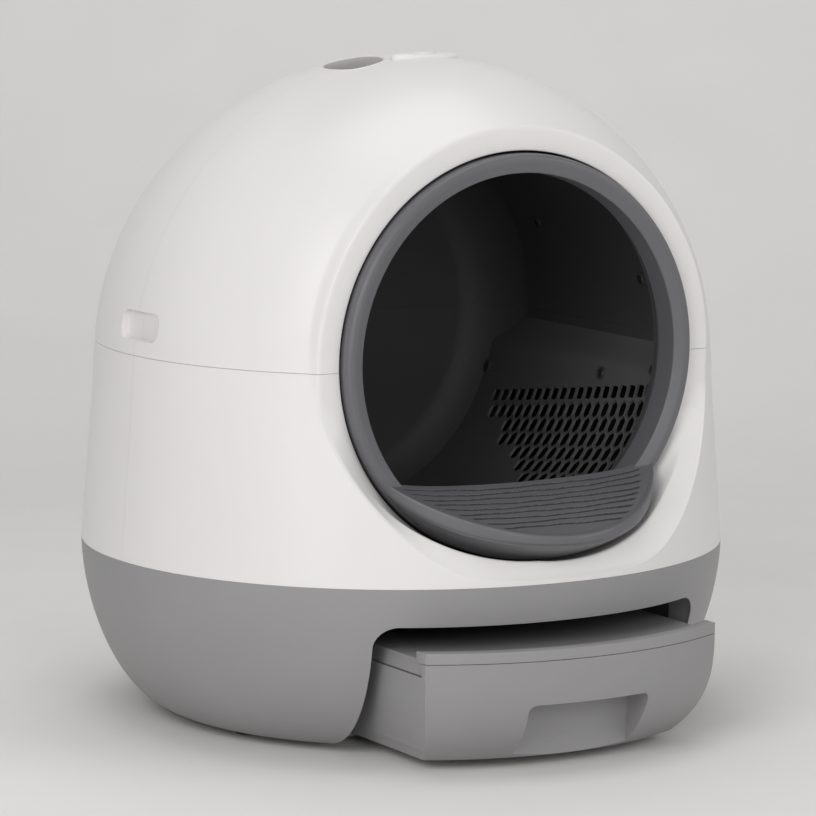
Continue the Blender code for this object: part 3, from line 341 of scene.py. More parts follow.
# Drive and rollers: a gear motor on a steel plate turns the drum by its ring gear, and four rubber
# rollers on steel pins carry it. None of it shows once the housing is on.
gear_colour, board_colour = (0.62, 0.61, 0.58), (0.020, 0.110, 0.055)
gear_plastic = moulded_plastic(
    "natural acetal", gear_colour, roughness=0.42,
    grain_size=0.0018, grain_depth=0.00006, mottle=0.02,
)
board_plastic = moulded_plastic(
    "coated board", board_colour, roughness=0.48,
    grain_size=0.0022, grain_depth=0.00008, mottle=0.10,
)
for name in ("ring_gear", "drive_pinion"):
    dress(name, gear_plastic)
for name in ("gear_motor", "motor_bracket"):
    dress(name, bar_metal)
for corner in corners:
    dress("roller_" + corner, rubber)
    dress("roller_axle_" + corner, bar_metal)
    dress("roller_bracket_" + corner, inner_plastic)
for name in ("control_board", "driver_board"):
    dress(name, board_plastic)
dress("power_inlet", inner_plastic)

# Drum: a dark satin moulding in two halves that meet at the axis. It narrows to the entrance in
# front, its back is a rounded dish, and the upper half has the port that the waste leaves by.
axis_height = 0.3105
drum_steps_round = 192
drum_radius = 0.190
drum_wall = 0.003
drum_front, drum_back = -0.150, 0.152
drum_front_radius = 0.160
drum_mouth_radius = 0.150
drum_taper = 0.031
drum_dish_width, drum_dish_depth = 0.046, 0.050
drum_dish_power = 1.6
drum_back_shares = (0.6, 0.3, 0.01)
drum_colour = (0.064, 0.061, 0.061)
port_half_width, port_half_length, port_corner = 0.050, 0.055, 0.012
split_gap = 0.0001


def turned_rows(profile, steps=drum_steps_round):
    """Rows of points turned about the drum's axis from pairs of a depth and a radius."""
    turns = np.linspace(0, 2 * math.pi, steps, endpoint=False)
    rows = []
    for depth, radius in profile:
        x, z = radius * np.cos(turns), axis_height + radius * np.sin(turns)
        rows.append(np.stack([x, np.full_like(x, body_middle_y + depth), z], 1))
    return rows


def drum_profile(inset, steps=14):
    """The drum's side from its front edge to the middle of its back, set in by a wall."""
    straight_end = drum_back - drum_dish_depth
    profile = [(drum_front + drum_taper + inset / 2, drum_radius - inset)]
    width, depth = drum_dish_width - inset / 2, drum_dish_depth - inset / 2
    start = drum_radius - inset - width
    for step in range(steps + 1):
        turn = math.pi / 2 * step / steps
        out = math.cos(turn) ** (2 / drum_dish_power)
        back = math.sin(turn) ** (2 / drum_dish_power)
        profile.append((straight_end - inset / 2 + depth * back, start + width * out))
    for share in drum_back_shares:
        profile.append((drum_back - inset, start * share))
    return profile


def block(name, low, high):
    outline = [(low[0], low[1]), (high[0], low[1]), (high[0], high[1]), (low[0], high[1])]
    return extruded(name, "Z", outline, low[2], high[2])


def drum_half(name, lower):
    inner, outer = drum_profile(drum_wall), drum_profile(0.0)
    lip = drum_front + drum_wall
    front = [(lip, drum_front_radius - drum_wall), (lip, drum_mouth_radius)]
    front += [(drum_front, drum_mouth_radius), (drum_front, drum_front_radius)]
    shell = skin(name, turned_rows(inner[::-1] + front + outer), True, True)
    reach = 2 * drum_radius
    low = axis_height - split_gap / 2 if lower else axis_height - reach
    high = axis_height + reach if lower else axis_height + split_gap / 2
    carve(shell, block("other_half", (-reach, -reach, low), (reach, reach, high)))
    return shell


def rectangle(a, b):
    return [(-a, -b), (a, -b), (a, b), (-a, b)]


drum_plastic = moulded_plastic(
    "dark satin plastic", drum_colour, roughness=0.55,
    grain_size=0.0016, grain_depth=0.00010, mottle=0.06, gloss=0.3,
)
drum_lower = drum_half("drum_lower_half", True)
mount(drum_lower, drum_plastic, "drum_plastic", "drum", "drum_lower_shell")
drum_upper = drum_half("drum_upper_half", False)
port = rounded(rectangle(port_half_width, port_half_length), [port_corner] * 4)
port = [(a, b + body_middle_y) for a, b in port]
port_low, port_high = axis_height + drum_radius / 2, axis_height + 2 * drum_radius
carve(drum_upper, extruded("port", "Z", port, port_low, port_high))
mount(drum_upper, drum_plastic, "drum_plastic", "drum", "drum_upper_shell")

# Sieve: a grey plate that stands off the drum's right wall, moulded with staggered rows of holes.
# The top row is a line of upright slots, the others are six-sided funnels with low ribs between
# them. Behind it a thin near-black sheet lies on the drum's wall: painted shade standing in for the
# shadow in the cavity behind the holes.
sieve_radius = 0.172
sieve_sheet, rib_rise = 0.0014, 0.0006
sieve_top, sieve_bottom = math.radians(2.2), math.radians(76)
sieve_lean = math.radians(9.5)
sieve_steps = 96
slot_counts = (20, 19, 17, 16, 14, 12, 11, 9)
slot_pitch, slot_row_pitch, first_row_pitch = 0.0122, 0.0138, 0.0155
slot_half_width, slot_half_height = 0.0050, 0.0081
first_row_half_height = 0.0052
slot_first_depth, slot_first_angle = -0.1303, math.radians(14.9)
slot_row_slope = 0.1426
# Size and place of the near-black sheet of painted shade behind the sieve.
shade_sheet_margin, shade_sheet_thickness, shade_sheet_back = math.radians(6), 0.0006, 0.108
slot_flare, slot_narrowing, slot_flare_depth = 0.0003, 0.0003, 0.0003
slot_corner, funnel_corner = 0.4, 0.25
cutter_spare, plate_gap, wall_lap = 0.0015, 0.0005, 0.0002
# The second colour is painted shade for the sheet behind the sieve, not the colour of a real part.
sieve_colour, painted_shade_colour = (0.115, 0.113, 0.115), (0.006, 0.006, 0.006)


def margin_share(angle):
    """From 0 at the top and bottom margins of the plate to 1 over its middle."""
    share = min(angle - sieve_top, sieve_bottom - angle) / sieve_lean
    share = min(max(share, 0), 1)
    return share * share * (3 - 2 * share)


def sieve_distance(angle):
    """The plate's inner face from the axis: it leans out to the wall at both margins."""
    wall = drum_radius - drum_wall + wall_lap
    return wall + (sieve_radius - rib_rise - wall) * margin_share(angle)


def drum_reach(distance, front):
    """The depth at which the drum's inside is this far from the axis, at the front or the back."""
    inner = drum_profile(drum_wall)
    if front:
        side = [(drum_front + drum_wall, drum_front_radius - drum_wall), inner[0]]
        depths, radii = zip(*side)
    else:
        depths, radii = zip(*inner[:0:-1])
    return float(np.interp(distance, radii, depths))


def curved_plate(name, first, last, faces):
    """A closed plate bent round the axis, each row going to the back and home on its other face."""
    rows = []
    for step in range(sieve_steps + 1):
        angle = first + (last - first) * step / sieve_steps
        row = []
        for distance, run in faces(angle):
            for depth in run:
                x, z = distance * math.cos(angle), axis_height - distance * math.sin(angle)
                row.append((x, body_middle_y + depth, z))
        rows.append(row)
    return skin(name, rows, True, True)


def sieve_faces(angle):
    inner = sieve_distance(angle)
    outer = inner + sieve_sheet + rib_rise * margin_share(angle)
    ends = []
    for distance in (inner, outer):
        front = drum_reach(distance, True) + plate_gap
        ends.append((front, drum_reach(distance, False) - plate_gap))
    return (inner, ends[0]), (outer, ends[1][::-1])


def slot_outline(row, grow):
    a, b = slot_half_width + grow, slot_half_height + grow
    if row == 0:
        b = first_row_half_height + grow
        return rounded([(a, -b), (a, b), (-a, b), (-a, -b)], [a * slot_corner] * 4, 4)
    corners = [(a, -b / 2), (a, b / 2), (0, b), (-a, b / 2), (-a, -b / 2), (0, -b)]
    return rounded(corners, [a * funnel_corner] * 6, 2)


def slot_cutters():
    """One mesh of all the holes, each wider where it opens to the inside of the drum."""
    builder = bmesh.new()
    for row, count in enumerate(slot_counts):
        flare = 0.0 if row == 0 else slot_flare
        narrow = 0.0 if row == 0 else -slot_narrowing
        for column in range(count):
            along = slot_pitch * (column + row % 2 / 2)
            down = first_row_pitch + slot_row_pitch * (row - 1) if row else 0
            angle = slot_first_angle + (down + slot_row_slope * along) / sieve_radius
            outwards = Vector((math.cos(angle), 0, -math.sin(angle)))
            upwards = Vector((math.sin(angle), 0, math.cos(angle)))
            foot = Vector((0, body_middle_y + slot_first_depth + along, axis_height))
            inner, outer = sieve_radius - rib_rise, sieve_radius + sieve_sheet
            places = ((inner - cutter_spare, flare), (inner + slot_flare_depth, flare))
            places += ((outer - slot_flare_depth, narrow), (outer + 2 * cutter_spare, narrow))
            loops = []
            for distance, grow in places:
                middle = foot + outwards * distance
                outline = slot_outline(row, grow)
                ring = [middle + Vector((0, a, 0)) + upwards * b for a, b in outline]
                loops.append([builder.verts.new(point) for point in ring])
            for lower, upper in zip(loops, loops[1:]):
                for here in range(len(lower)):
                    builder.faces.new((lower[here - 1], lower[here], upper[here], upper[here - 1]))
            builder.faces.new(loops[0])
            builder.faces.new(loops[-1])
    bmesh.ops.recalc_face_normals(builder, faces=builder.faces)
    mesh = bpy.data.meshes.new("slots")
    builder.to_mesh(mesh)
    builder.free()
    cutters = bpy.data.objects.new("slots", mesh)
    bpy.context.scene.collection.objects.link(cutters)
    return cutters


sieve_plastic = moulded_plastic(
    "satin sieve plastic", sieve_colour, roughness=0.36,
    grain_size=0.0014, grain_depth=0.00010, mottle=0.06,
)
sieve = carve(curved_plate("sieve_plate", sieve_top, sieve_bottom, sieve_faces), slot_cutters())
mount(sieve, sieve_plastic, "dark_ring", "drum", "sieve_screen")
inside_radius = drum_radius - drum_wall
shade_sheet_front = drum_reach(inside_radius, True) + shell_wall


def shade_sheet_faces(angle):
    """The sheet of painted shade: its face towards the sieve, and its back let into the drum's
    wall.
    """
    face = (inside_radius - shade_sheet_thickness, (shade_sheet_front, shade_sheet_back))
    return face, (inside_radius + shade_sheet_thickness / 4, (shade_sheet_back, shade_sheet_front))


# A near-black sheet on the drum's wall behind the sieve: painted shade for the dark cavity behind
# the holes.
shade_sheet_ends = sieve_top + shade_sheet_margin, sieve_bottom - shade_sheet_margin
painted_shade_sheet = curved_plate("sieve_painted_shade_sheet", *shade_sheet_ends, shade_sheet_faces)
painted_shade_black = moulded_plastic(
    "painted shade behind sieve", painted_shade_colour, roughness=0.9,
    grain_size=0.002, grain_depth=0.0001, mottle=0.1, gloss=0.1,
)
mount(painted_shade_sheet, painted_shade_black, "rubber", "drum")

# Drum screws: blackened pan-head screws in shallow moulded wells that hold the two halves and the
# sieve together. Each place is degrees up from level on the right, and millimetres back.
screw_places = ((-18.2, 131.0), (24.6, 63.4), (12.9, -79.0), (-13.4, -45.0), (-9.9, -117.0))
screw_radius, well_radius = 0.0034, 0.0056
well_profile = (
    (-0.0002, well_radius),
    (0.0012, well_radius),
    (0.0016, well_radius - 0.0005),
    (0.0016, screw_radius + 0.0006),
    (0.0006, screw_radius + 0.0004),
    (0.0004, 0.0002),
)
head_profile = (
    (0.0004, screw_radius),
    (0.0012, screw_radius),
    (0.0018, screw_radius * 0.8),
    (0.0021, screw_radius * 0.4),
    (0.0022, 0.0002),
)
cross_reach, cross_width = screw_radius * 0.62, screw_radius * 0.14
cross_floor, cross_top = 0.0012, 0.004
screw_colour = (0.10, 0.10, 0.10)
screw_metal = moulded_plastic(
    "blackened screw steel", screw_colour, roughness=0.35,
    grain_size=0.0006, grain_depth=0.00004, mottle=0.1,
)
screw_metal.node_tree.nodes["Principled BSDF"].inputs["Metallic"].default_value = 0.8


def dome_rows(centre, normal, profile, steps=24):
    """Rows turned about a line out of a wall, from pairs of a height and a radius."""
    side = normal.orthogonal().normalized()
    other = normal.cross(side)
    rows = []
    for height, radius in profile:
        ring = []
        for step in range(steps):
            turn = 2 * math.pi * step / steps
            spoke = side * math.cos(turn) + other * math.sin(turn)
            ring.append(tuple(centre + normal * height + spoke * radius))
        rows.append(ring)
    return rows


def drum_screw(number, degrees, depth):
    angle = math.radians(degrees)
    on_sieve = -math.degrees(sieve_bottom) < degrees < -math.degrees(sieve_top)
    distance = sieve_distance(-angle) if on_sieve else drum_radius - drum_wall
    outwards = Vector((math.cos(angle), 0, math.sin(angle)))
    centre = Vector((0, body_middle_y + depth, axis_height)) + outwards * distance
    boss = skin(f"screw_boss_{number}", dome_rows(centre, -outwards, well_profile), True, True)
    mount(boss, drum_plastic, "drum_plastic", "drum")
    screw = skin(f"screw_{number}", dome_rows(centre, -outwards, head_profile), True, True)
    side = Vector((0, 1, 0))
    up = outwards.cross(side)
    outline = rectangle(cross_reach, cross_width)
    for along, across in ((side, up), (up, side)):
        rows = []
        for height in (cross_floor, cross_top):
            middle = centre - outwards * height
            rows.append([tuple(middle + along * a + across * b) for a, b in outline])
        carve(screw, skin("cross", rows, True, True))
    mount(screw, screw_metal, "steel", "drum")


for number, (degrees, depth) in enumerate(screw_places, 1):
    drum_screw(number, degrees, depth / 1000)

# Entrance ring: the smooth grey ring round the drum's mouth, which turns with it. Its face rolls
# over at the outer edge, and its inside is a plain collar back to the drum.
ring_colour = (0.124, 0.121, 0.129)
ring_grey = moulded_plastic(
    "satin dark grey plastic", ring_colour, roughness=0.40,
    grain_size=0.0013, grain_depth=0.00008, mottle=0.04,
)
ring_front = -0.1845
ring_crown = 0.0035
ring_inner, ring_outer = 0.144, 0.1595
collar_gap, collar_flare, collar_radius = 0.0003, 0.012, 0.158
collar_back = drum_front - collar_gap
face_inset, outer_inset = 0.0085, 0.0012
ring_steps_round = 224
ring_corners = (0.0004, 0.004, 0.0016, 0.006, 0.0038, 0.003, 0.0004)
ring_profile = [
    (collar_back, drum_mouth_radius),
    (collar_back - collar_flare, ring_inner),
    (ring_front, ring_inner),
    (ring_front - ring_crown, ring_inner + face_inset),
    (ring_front - ring_crown, ring_outer - outer_inset),
    (ring_front + ring_crown, ring_outer),
    (collar_back, collar_radius),
]
ring_profile = rounded(ring_profile, ring_corners)


def close_ring(item):
    """Joins the first and last row of a profile that comes back to its start."""
    builder = bmesh.new()
    builder.from_mesh(item.data)
    bmesh.ops.remove_doubles(builder, verts=builder.verts, dist=1e-6)
    bmesh.ops.recalc_face_normals(builder, faces=builder.faces)
    builder.to_mesh(item.data)
    builder.free()


ring = skin("entrance_ring", turned_rows(ring_profile + ring_profile[:1], ring_steps_round))
close_ring(ring)
mount(ring, ring_grey, "dark_ring", "drum", "entry_ring")

# Entrance step: a tray moulded with the ring, which slopes down to a bowed rim with a full chin
# under it. The chin is turned about the drum's axis so that it clears the housing, and slightly
# wavy grooves keep paws from slipping. The grooves are coloured near-black as painted shade.
sill_height, tread_sag, end_sweep = 0.209, 0.0055, 0.004
step_reach, step_half_width, step_back = 0.0835, 0.124, -0.1815
step_bow, step_slope = 0.8, math.tan(math.radians(19.6))
step_sections, tread_points, underside_points, rim_steps = 181, 320, 60, 8
least_edge, edge_share, end_trim = 0.0012, 0.47, 0.0001
chin_radius, nose_radius, chin_power, chin_start = 0.159, 0.1375, 2.1, 0.006
rim_radius = 0.0026
rim_width, rim_fall, rim_rise = 0.0060, 0.0022, 0.0004
groove_count, groove_first, groove_pitch = 9, 0.0045, 0.0074
groove_half_width, groove_depth = 0.0010, 0.0018
groove_margin, groove_fade = 0.012, 0.006
groove_waves = ((0.0006, 60, 1.9), (0.0003, 170, 1.0))
# Near-black colour for the grooves, and how deep a face must sink to get it: painted shade in the
# creases.
groove_shade_colour, shade_mask_shallow, shade_mask_deep = (0.035, 0.034, 0.036), 0.1, 1.2


def tread_height(across, depth):
    """The tread slopes to the rim, sags along its middle and sweeps up to the ring at its ends."""
    share = np.abs(across) / step_half_width
    slope = sill_height + (depth - ring_front) * step_slope
    return slope + tread_sag * share**2 + end_sweep * share**6


def step_front(across):
    """Depth of the rim at a place across the step."""
    return ring_front - step_reach * (1 - np.clip(across / step_half_width, -1, 1) ** 2) ** step_bow


def underside_radius(depth):
    """The underside is turned about the drum's axis, narrowing towards the rim."""
    start = ring_front - chin_start
    share = np.clip((start - depth) / (step_reach - chin_start), 0, 1)
    back = np.clip((depth - start) / (step_back - start), 0, 1)
    radius = chin_radius - (chin_radius - nose_radius) * share**chin_power
    return radius + (collar_radius - chin_radius) * back


def underside_height(across, depth):
    return axis_height - np.sqrt(underside_radius(depth) ** 2 - across**2)


def groove_depths(across, depth):
    """How deep the grooves are on the tread: each is a shallow wave that fades at its ends."""
    total = np.zeros_like(depth)
    for index in range(groove_count):
        place = ring_front - groove_first - groove_pitch * index
        bow = min((ring_front - place) / step_reach, 0.99)
        half = step_half_width * math.sqrt(1 - bow ** (1 / step_bow)) - groove_margin
        wave = sum(size * math.sin(across * turn + index * lag) for size, turn, lag in groove_waves)
        fade = min(max((half - abs(across)) / groove_fade, 0), 1)
        near = np.clip(1 - np.abs(depth - place - wave) / groove_half_width, 0, 1)
        total = np.maximum(total, groove_depth * fade * np.sin(math.pi / 2 * near))
    return total


def step_rows():
    """Sections of the step from left to right, each round its tread, rim and underside."""
    ends, front = step_half_width, step_front(step_half_width)
    while tread_height(ends, front) - underside_height(ends, front) <= least_edge:
        ends -= end_trim
        front = step_front(ends)
    rows = []
    for share in np.sin(np.linspace(-math.pi / 2, math.pi / 2, step_sections)):
        across = ends * share
        front = float(step_front(across))
        top, bottom = tread_height(across, front), float(underside_height(across, front))
        radius = min(rim_radius, edge_share * (top - bottom))
        treads = np.linspace(step_back, front + radius, tread_points)
        lip = np.clip((front + rim_width - treads) / rim_fall, 0, 1)
        heights = tread_height(across, treads) + rim_rise * lip * lip * (3 - 2 * lip)
        heights = heights - groove_depths(across, treads)
        crown = heights[-1] - radius
        points = list(zip(treads, heights))
        rim_turns = [math.pi / 2 * step / rim_steps for step in range(rim_steps)]
        for turn in rim_turns[1:]:
            points.append((front + radius * (1 - math.sin(turn)), crown + radius * math.cos(turn)))
        points.append((front, crown))
        for turn in rim_turns:
            depth = front + radius * (1 - math.cos(turn))
            points.append((depth, bottom + radius * (1 - math.sin(turn))))
        for depth in np.linspace(front + radius, step_back, underside_points):
            points.append((depth, float(underside_height(across, depth))))
        rows.append([(across, body_middle_y + a, b) for a, b in points])
    return rows


step = skin("entrance_step", step_rows(), True, True)
mount(step, ring_grey, "dark_ring", "drum")
# The grooves get a near-black material: painted shade standing in for the shadow in them.
groove_painted_shade = moulded_plastic(
    "painted groove shade", groove_shade_colour, roughness=0.6,
    grain_size=0.0013, grain_depth=0.00008, mottle=0.04, gloss=0.2,
)
step.data.materials.append(groove_painted_shade)
# Faces sunk into a groove on the tread take the painted shade.
for face in step.data.polygons:
    across, depth = face.center.x, face.center.y - body_middle_y
    sunk = tread_height(across, depth) - face.center.z
    on_tread = face.normal.z > 0 and depth > step_front(across) + rim_width
    if on_tread and groove_depth * shade_mask_shallow < sunk < groove_depth * shade_mask_deep:
        face.material_index = 1

# Housing: two white satin shells over the drum, with a fine joint between them at the drum's axis
# and the faint line of the mould up their sides. A shallow funnel runs from a bowed edge on the
# front down to the round hole that the ring turns in, and under the step it follows the chin.
shoulder_height = 0.290
shoulder_half_width = 0.253
dome_rise = 0.248
front_fullness = 0.64
fullness_reach = math.radians(70)
soften_low, soften_high = 0.255, 0.325
seam_height = 0.306
seam_gap = 0.0003
funnel_plane = -0.1785
hole_radius = 0.1612
funnel_radius = 0.181
funnel_bottom = 0.1470
funnel_step = 0.0015
funnel_sharpness = 24
edge_band, edge_lead, edge_spare = 0.0022, 0.0004, 0.3
hole_band, hole_start, hole_depth = 0.0012, 0.0012, 0.007
knee_band, plain_knee = 0.002, 0.45
flush_start, flush_run = -0.192, 0.040
bevel_fall, knee_gap, knee_clearing, knee_inset = 0.006, 0.0055, 0.003, 0.004
left_gap, left_start = 0.0175, 0.15
lean_even, lean_gather = 0.55, 0.45
housing_turns, housing_steps, bend_steps = 384, 110, 5
beyond_shells, halvings = 0.45, 36
white_colour = (0.765, 0.745, 0.735)
parting_line_depth, parting_line_half_width = -0.010, 0.0004
parting_line_rise, parting_line_tone = 0.0001, 0.94


def plain_radius(azimuth, height):
    """The shells' form before the shoulder is softened: a leaning wall and a fuller dome."""
    share = np.clip((height - parting_height) / (shoulder_height - parting_height), 0, 1)
    half_width = body_half_width + (shoulder_half_width - body_half_width) * share
    turn = np.abs((azimuth + math.pi) % (2 * math.pi) - math.pi) / fullness_reach
    power = 2 + front_fullness * np.clip(1 - turn**2, 0, 1) ** 2
    rise = np.clip((height - shoulder_height) / dome_rise, 0, 1)
    return plan_radius(azimuth, half_width) * (1 - rise**power) ** (1 / power)


def shell_radius(azimuth, height):
    """The shells' form with a smooth passage from the wall to the dome."""
    low, high, tiny = soften_low, soften_high, 1e-4
    start, end = plain_radius(azimuth, low), plain_radius(azimuth, high)
    leave = (start - plain_radius(azimuth, low - tiny)) / tiny * (high - low)
    arrive = (plain_radius(azimuth, high + tiny) - end) / tiny * (high - low)
    t = np.clip((height - low) / (high - low), 0, 1)
    smooth = (2 * t**3 - 3 * t**2 + 1) * start + (t**3 - 2 * t**2 + t) * leave
    smooth += (3 * t**2 - 2 * t**3) * end + (t**3 - t**2) * arrive
    return np.where((height > low) & (height < high), smooth, plain_radius(azimuth, height))


def is_inside(x, depth, z):
    azimuth = np.arctan2(x, -depth)
    return (np.hypot(x, depth) < shell_radius(azimuth, z)) & (z < shoulder_height + dome_rise)


def last_inside(near, far, held):
    """How far a line out of the shells runs inside them, found by halving."""
    for _ in range(halvings):
        middle = (near + far) / 2
        inside = held(middle)
        near, far = np.where(inside, middle, near), np.where(inside, far, middle)
    return near


def front_depth(x, z):
    """Depth of the front of the shells at places seen from the front."""
    far = np.full_like(x, body_half_depth * 1.2)
    return -last_inside(np.zeros_like(x), far, lambda out: is_inside(x, -out, z))


def surface_along(turns, leans):
    """From the drum's middle to the shells' outside, by turn about the axis and lean back."""

    def held(out):
        x = out * np.sin(leans) * np.cos(turns)
        z = axis_height + out * np.sin(leans) * np.sin(turns)
        return is_inside(x, -out * np.cos(leans), z)

    return last_inside(np.zeros_like(leans), np.full_like(leans, beyond_shells), held)


def bend(first, corner, last):
    """Points of a small rounding between two runs."""
    shares = [step / (bend_steps - 1) for step in range(bend_steps)]
    return [first * (1 - s) ** 2 + corner * 2 * s * (1 - s) + last * s**2 for s in shares]


def housing_rows():
    """Rows round the axis: out of the hole, up the funnel, over its edge and round to the back."""
    turns = np.linspace(0, 2 * math.pi, housing_turns, endpoint=False)
    fall = np.clip(-np.sin(turns), 0, 1) * funnel_radius / (axis_height - funnel_bottom)
    edge = funnel_radius * (1 + fall**funnel_sharpness) ** (-1 / funnel_sharpness)
    across, along = np.cos(turns), np.sin(turns)
    edge_depth = front_depth(edge * across, axis_height + edge * along) + funnel_step
    edge_depth = np.minimum(edge_depth, funnel_plane - edge_lead)
    beyond = edge + edge_band
    beyond_depth = front_depth(beyond * across, axis_height + beyond * along)
    hole = np.full_like(edge, hole_radius)
    plane = np.full_like(edge, funnel_plane)
    hole_corner, edge_corner = np.stack([hole, plane], 1), np.stack([edge, edge_depth], 1)
    back = hole_corner + np.array([0, hole_start])
    flush = np.clip((flush_start - edge_depth) / flush_run, 0, 1)[:, None]
    flush = flush * flush * (3 - 2 * flush)
    knee_depth = edge_depth + bevel_fall
    gap = knee_gap + left_gap * np.clip(-across - left_start, 0, 1)
    knee = np.minimum(underside_radius(knee_depth) + gap, edge - knee_inset)
    knee = np.stack([knee, knee_depth], 1) * flush
    knee += (hole_corner * plain_knee + edge_corner * (1 - plain_knee)) * (1 - flush)
    inward, onward = knee - hole_corner, edge_corner - knee
    inward = inward / np.linalg.norm(inward, axis=1, keepdims=True)
    reach = np.linalg.norm(onward, axis=1, keepdims=True)
    onward = onward / reach
    rows = [hole_corner + np.array([0, hole_depth])]
    rows += bend(back, hole_corner, hole_corner + inward * hole_band)
    start, end = rows[-1], knee - inward * knee_band
    for share in (0.25, 0.5, 0.75):
        clearing = np.array([knee_clearing * math.sin(math.pi * share), 0]) * flush
        rows.append(start * (1 - share) + end * share + clearing)
    rows += bend(end, knee, knee + onward * knee_band)
    top = edge_corner - onward * np.minimum(edge_band, reach * edge_spare)
    rows.append((rows[-1] + top) / 2)
    rows += bend(top, edge_corner, np.stack([beyond, beyond_depth], 1))
    first_lean = np.arctan2(beyond, -beyond_depth)
    for step in range(1, housing_steps):
        share = step / housing_steps
        share = lean_even * share + lean_gather * share**2
        lean = first_lean + (math.pi - first_lean) * share
        distance = surface_along(turns, lean)
        rows.append(np.stack([distance * np.sin(lean), -distance * np.cos(lean)], 1))
    placed = []
    for row in rows:
        x, z = row[:, 0] * across, axis_height + row[:, 0] * along
        placed.append(np.stack([x, body_middle_y + row[:, 1], z], 1))
    return placed


def keep_between(item, low, high):
    """Trims an open skin to the part between two levels."""
    builder = bmesh.new()
    builder.from_mesh(item.data)
    for level, up in ((low, -1), (high, 1)):
        if level is None:
            continue
        geometry = builder.verts[:] + builder.edges[:] + builder.faces[:]
        plane = dict(plane_co=(0, 0, level), plane_no=(0, 0, up))
        bmesh.ops.bisect_plane(builder, geom=geometry, clear_outer=True, **plane)
    builder.to_mesh(item.data)
    builder.free()
    return item


def mark_parting_line(material, depth):
    """The faint line up both sides and over the top where the front and back of the mould met."""
    tree = material.node_tree
    shader = tree.nodes["Principled BSDF"]
    place, split = add_node(tree, "TexCoord"), add_node(tree, "SeparateXYZ")
    line = add_node(tree, "Math")
    line.operation = "COMPARE"
    line.inputs[1].default_value = depth
    line.inputs[2].default_value = parting_line_half_width
    darker = add_node(tree, "MixRGB", Color2=(*[parting_line_tone] * 3, 1))
    darker.blend_type = "MULTIPLY"
    ridge = add_node(tree, "Bump", Distance=parting_line_rise)
    link = tree.links.new
    link(place.outputs["Object"], split.inputs["Vector"])
    link(split.outputs["Y"], line.inputs[0])
    link(line.outputs["Value"], darker.inputs["Fac"])
    link(shader.inputs["Base Color"].links[0].from_socket, darker.inputs["Color1"])
    link(darker.outputs["Color"], shader.inputs["Base Color"])
    link(line.outputs["Value"], ridge.inputs["Height"])
    link(shader.inputs["Normal"].links[0].from_socket, ridge.inputs["Normal"])
    link(ridge.outputs["Normal"], shader.inputs["Normal"])
    return material


white_look = dict(colour=white_colour, roughness=0.36, mottle=0.012)
white_look.update(grain_size=0.0012, grain_depth=0.00005)
white_plastic = moulded_plastic("white satin plastic", **white_look)
shell_plastic = moulded_plastic("white shell plastic", **white_look)
mark_parting_line(shell_plastic, body_middle_y + parting_line_depth)
whole_skin = housing_rows()
lower_shell = skin("housing_lower", whole_skin, False, True)
keep_between(lower_shell, parting_height + seam_gap / 2, seam_height - seam_gap / 2)
thicken(lower_shell, shell_wall)
mount(lower_shell, shell_plastic, "white_shell", "housing", "lower_housing")
upper_shell = skin("housing_upper", whole_skin, False, True)
keep_between(upper_shell, seam_height + seam_gap / 2, None)
thicken(upper_shell, shell_wall)

# Side grips: a shallow rounded pocket in each side of the upper shell, to lift it by.
# The pocket's walls and floor are moulded with the shell as a cup on its inside.
grip_centre_depth, grip_centre_height = -0.012, 0.3295
grip_half_length, grip_half_height = 0.029, 0.0115
grip_corner = 0.0085
grip_depth = 0.006
cup_step = 0.0012
grip_cut_end = 0.28


def grip_outline(spare):
    a, b = grip_half_length + spare, grip_half_height + spare
    outline = rounded(rectangle(a, b), [grip_corner + spare] * 4)
    return [(u + body_middle_y + grip_centre_depth, v + grip_centre_height) for u, v in outline]


def side_reach(depth, height):
    """How far the shell's side lies from the middle at a place seen from the side."""
    far = body_half_width * 1.1
    return float(last_inside(0.0, far, lambda out: is_inside(out, np.array(depth), height)))


grip_side = float(shell_radius(np.array(math.pi / 2), np.array(grip_centre_height)))
grip_floor = grip_side - grip_depth
for side in (-1, 1):
    cup_floor, cup_edge = [], []
    for y, z in grip_outline(shell_wall):
        cup_floor.append((side * (grip_floor - shell_wall), y, z))
        cup_edge.append((side * (side_reach(y - body_middle_y, z) - cup_step), y, z))
    carve(upper_shell, skin("cup", [cup_floor, cup_edge], True, True), "UNION")
    pocket = extruded("pocket", "X", grip_outline(0), side * grip_floor, side * grip_cut_end)
    carve(upper_shell, pocket)

# Top fittings: an oval white pad with a round push button, and a dark status window let into the
# dome beside it. The pad sits in its own hole in the upper shell and the button in a well in the
# pad;
# the window and its frame lie on the dome with no hole cut under them.
pad_half_width, pad_half_length, pad_depth = 0.031, 0.014, -0.031
pad_foot, pad_rim, pad_crown = 0.5275, 0.5385, 0.5410
pad_cut_low, pad_cut_high = 0.50, 0.56
pad_steps_round, button_steps_round = 64, 48
pad_sections = (
    (pad_foot, 0.0),
    (pad_rim - 0.0012, 0.0),
    (pad_rim, 0.0005),
    (pad_rim + 0.0009, 0.0016),
    (pad_crown - 0.0008, 0.0042),
    (pad_crown - 0.0002, 0.0065),
    (pad_crown, 0.0095),
)
button_low, button_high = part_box("push_button")
button_radius, button_top = button_high.x, button_high.z
stem_radius, well_depth, well_spare = 0.003, 0.003, 0.01
button_sections = (
    (button_low.z, stem_radius),
    (pad_crown - 0.0045, stem_radius),
    (pad_crown - 0.0042, button_radius),
    (button_top - 0.0008, button_radius),
    (button_top - 0.0002, button_radius - 0.0006),
    (button_top - 0.0001, button_radius * 0.8),
    (button_top - 0.0004, 0.0008),
)
panel_centre = (-0.0505, body_middle_y - 0.004)
panel_half_width, panel_half_length = 0.0225, 0.030
fitting_gap = 0.0004

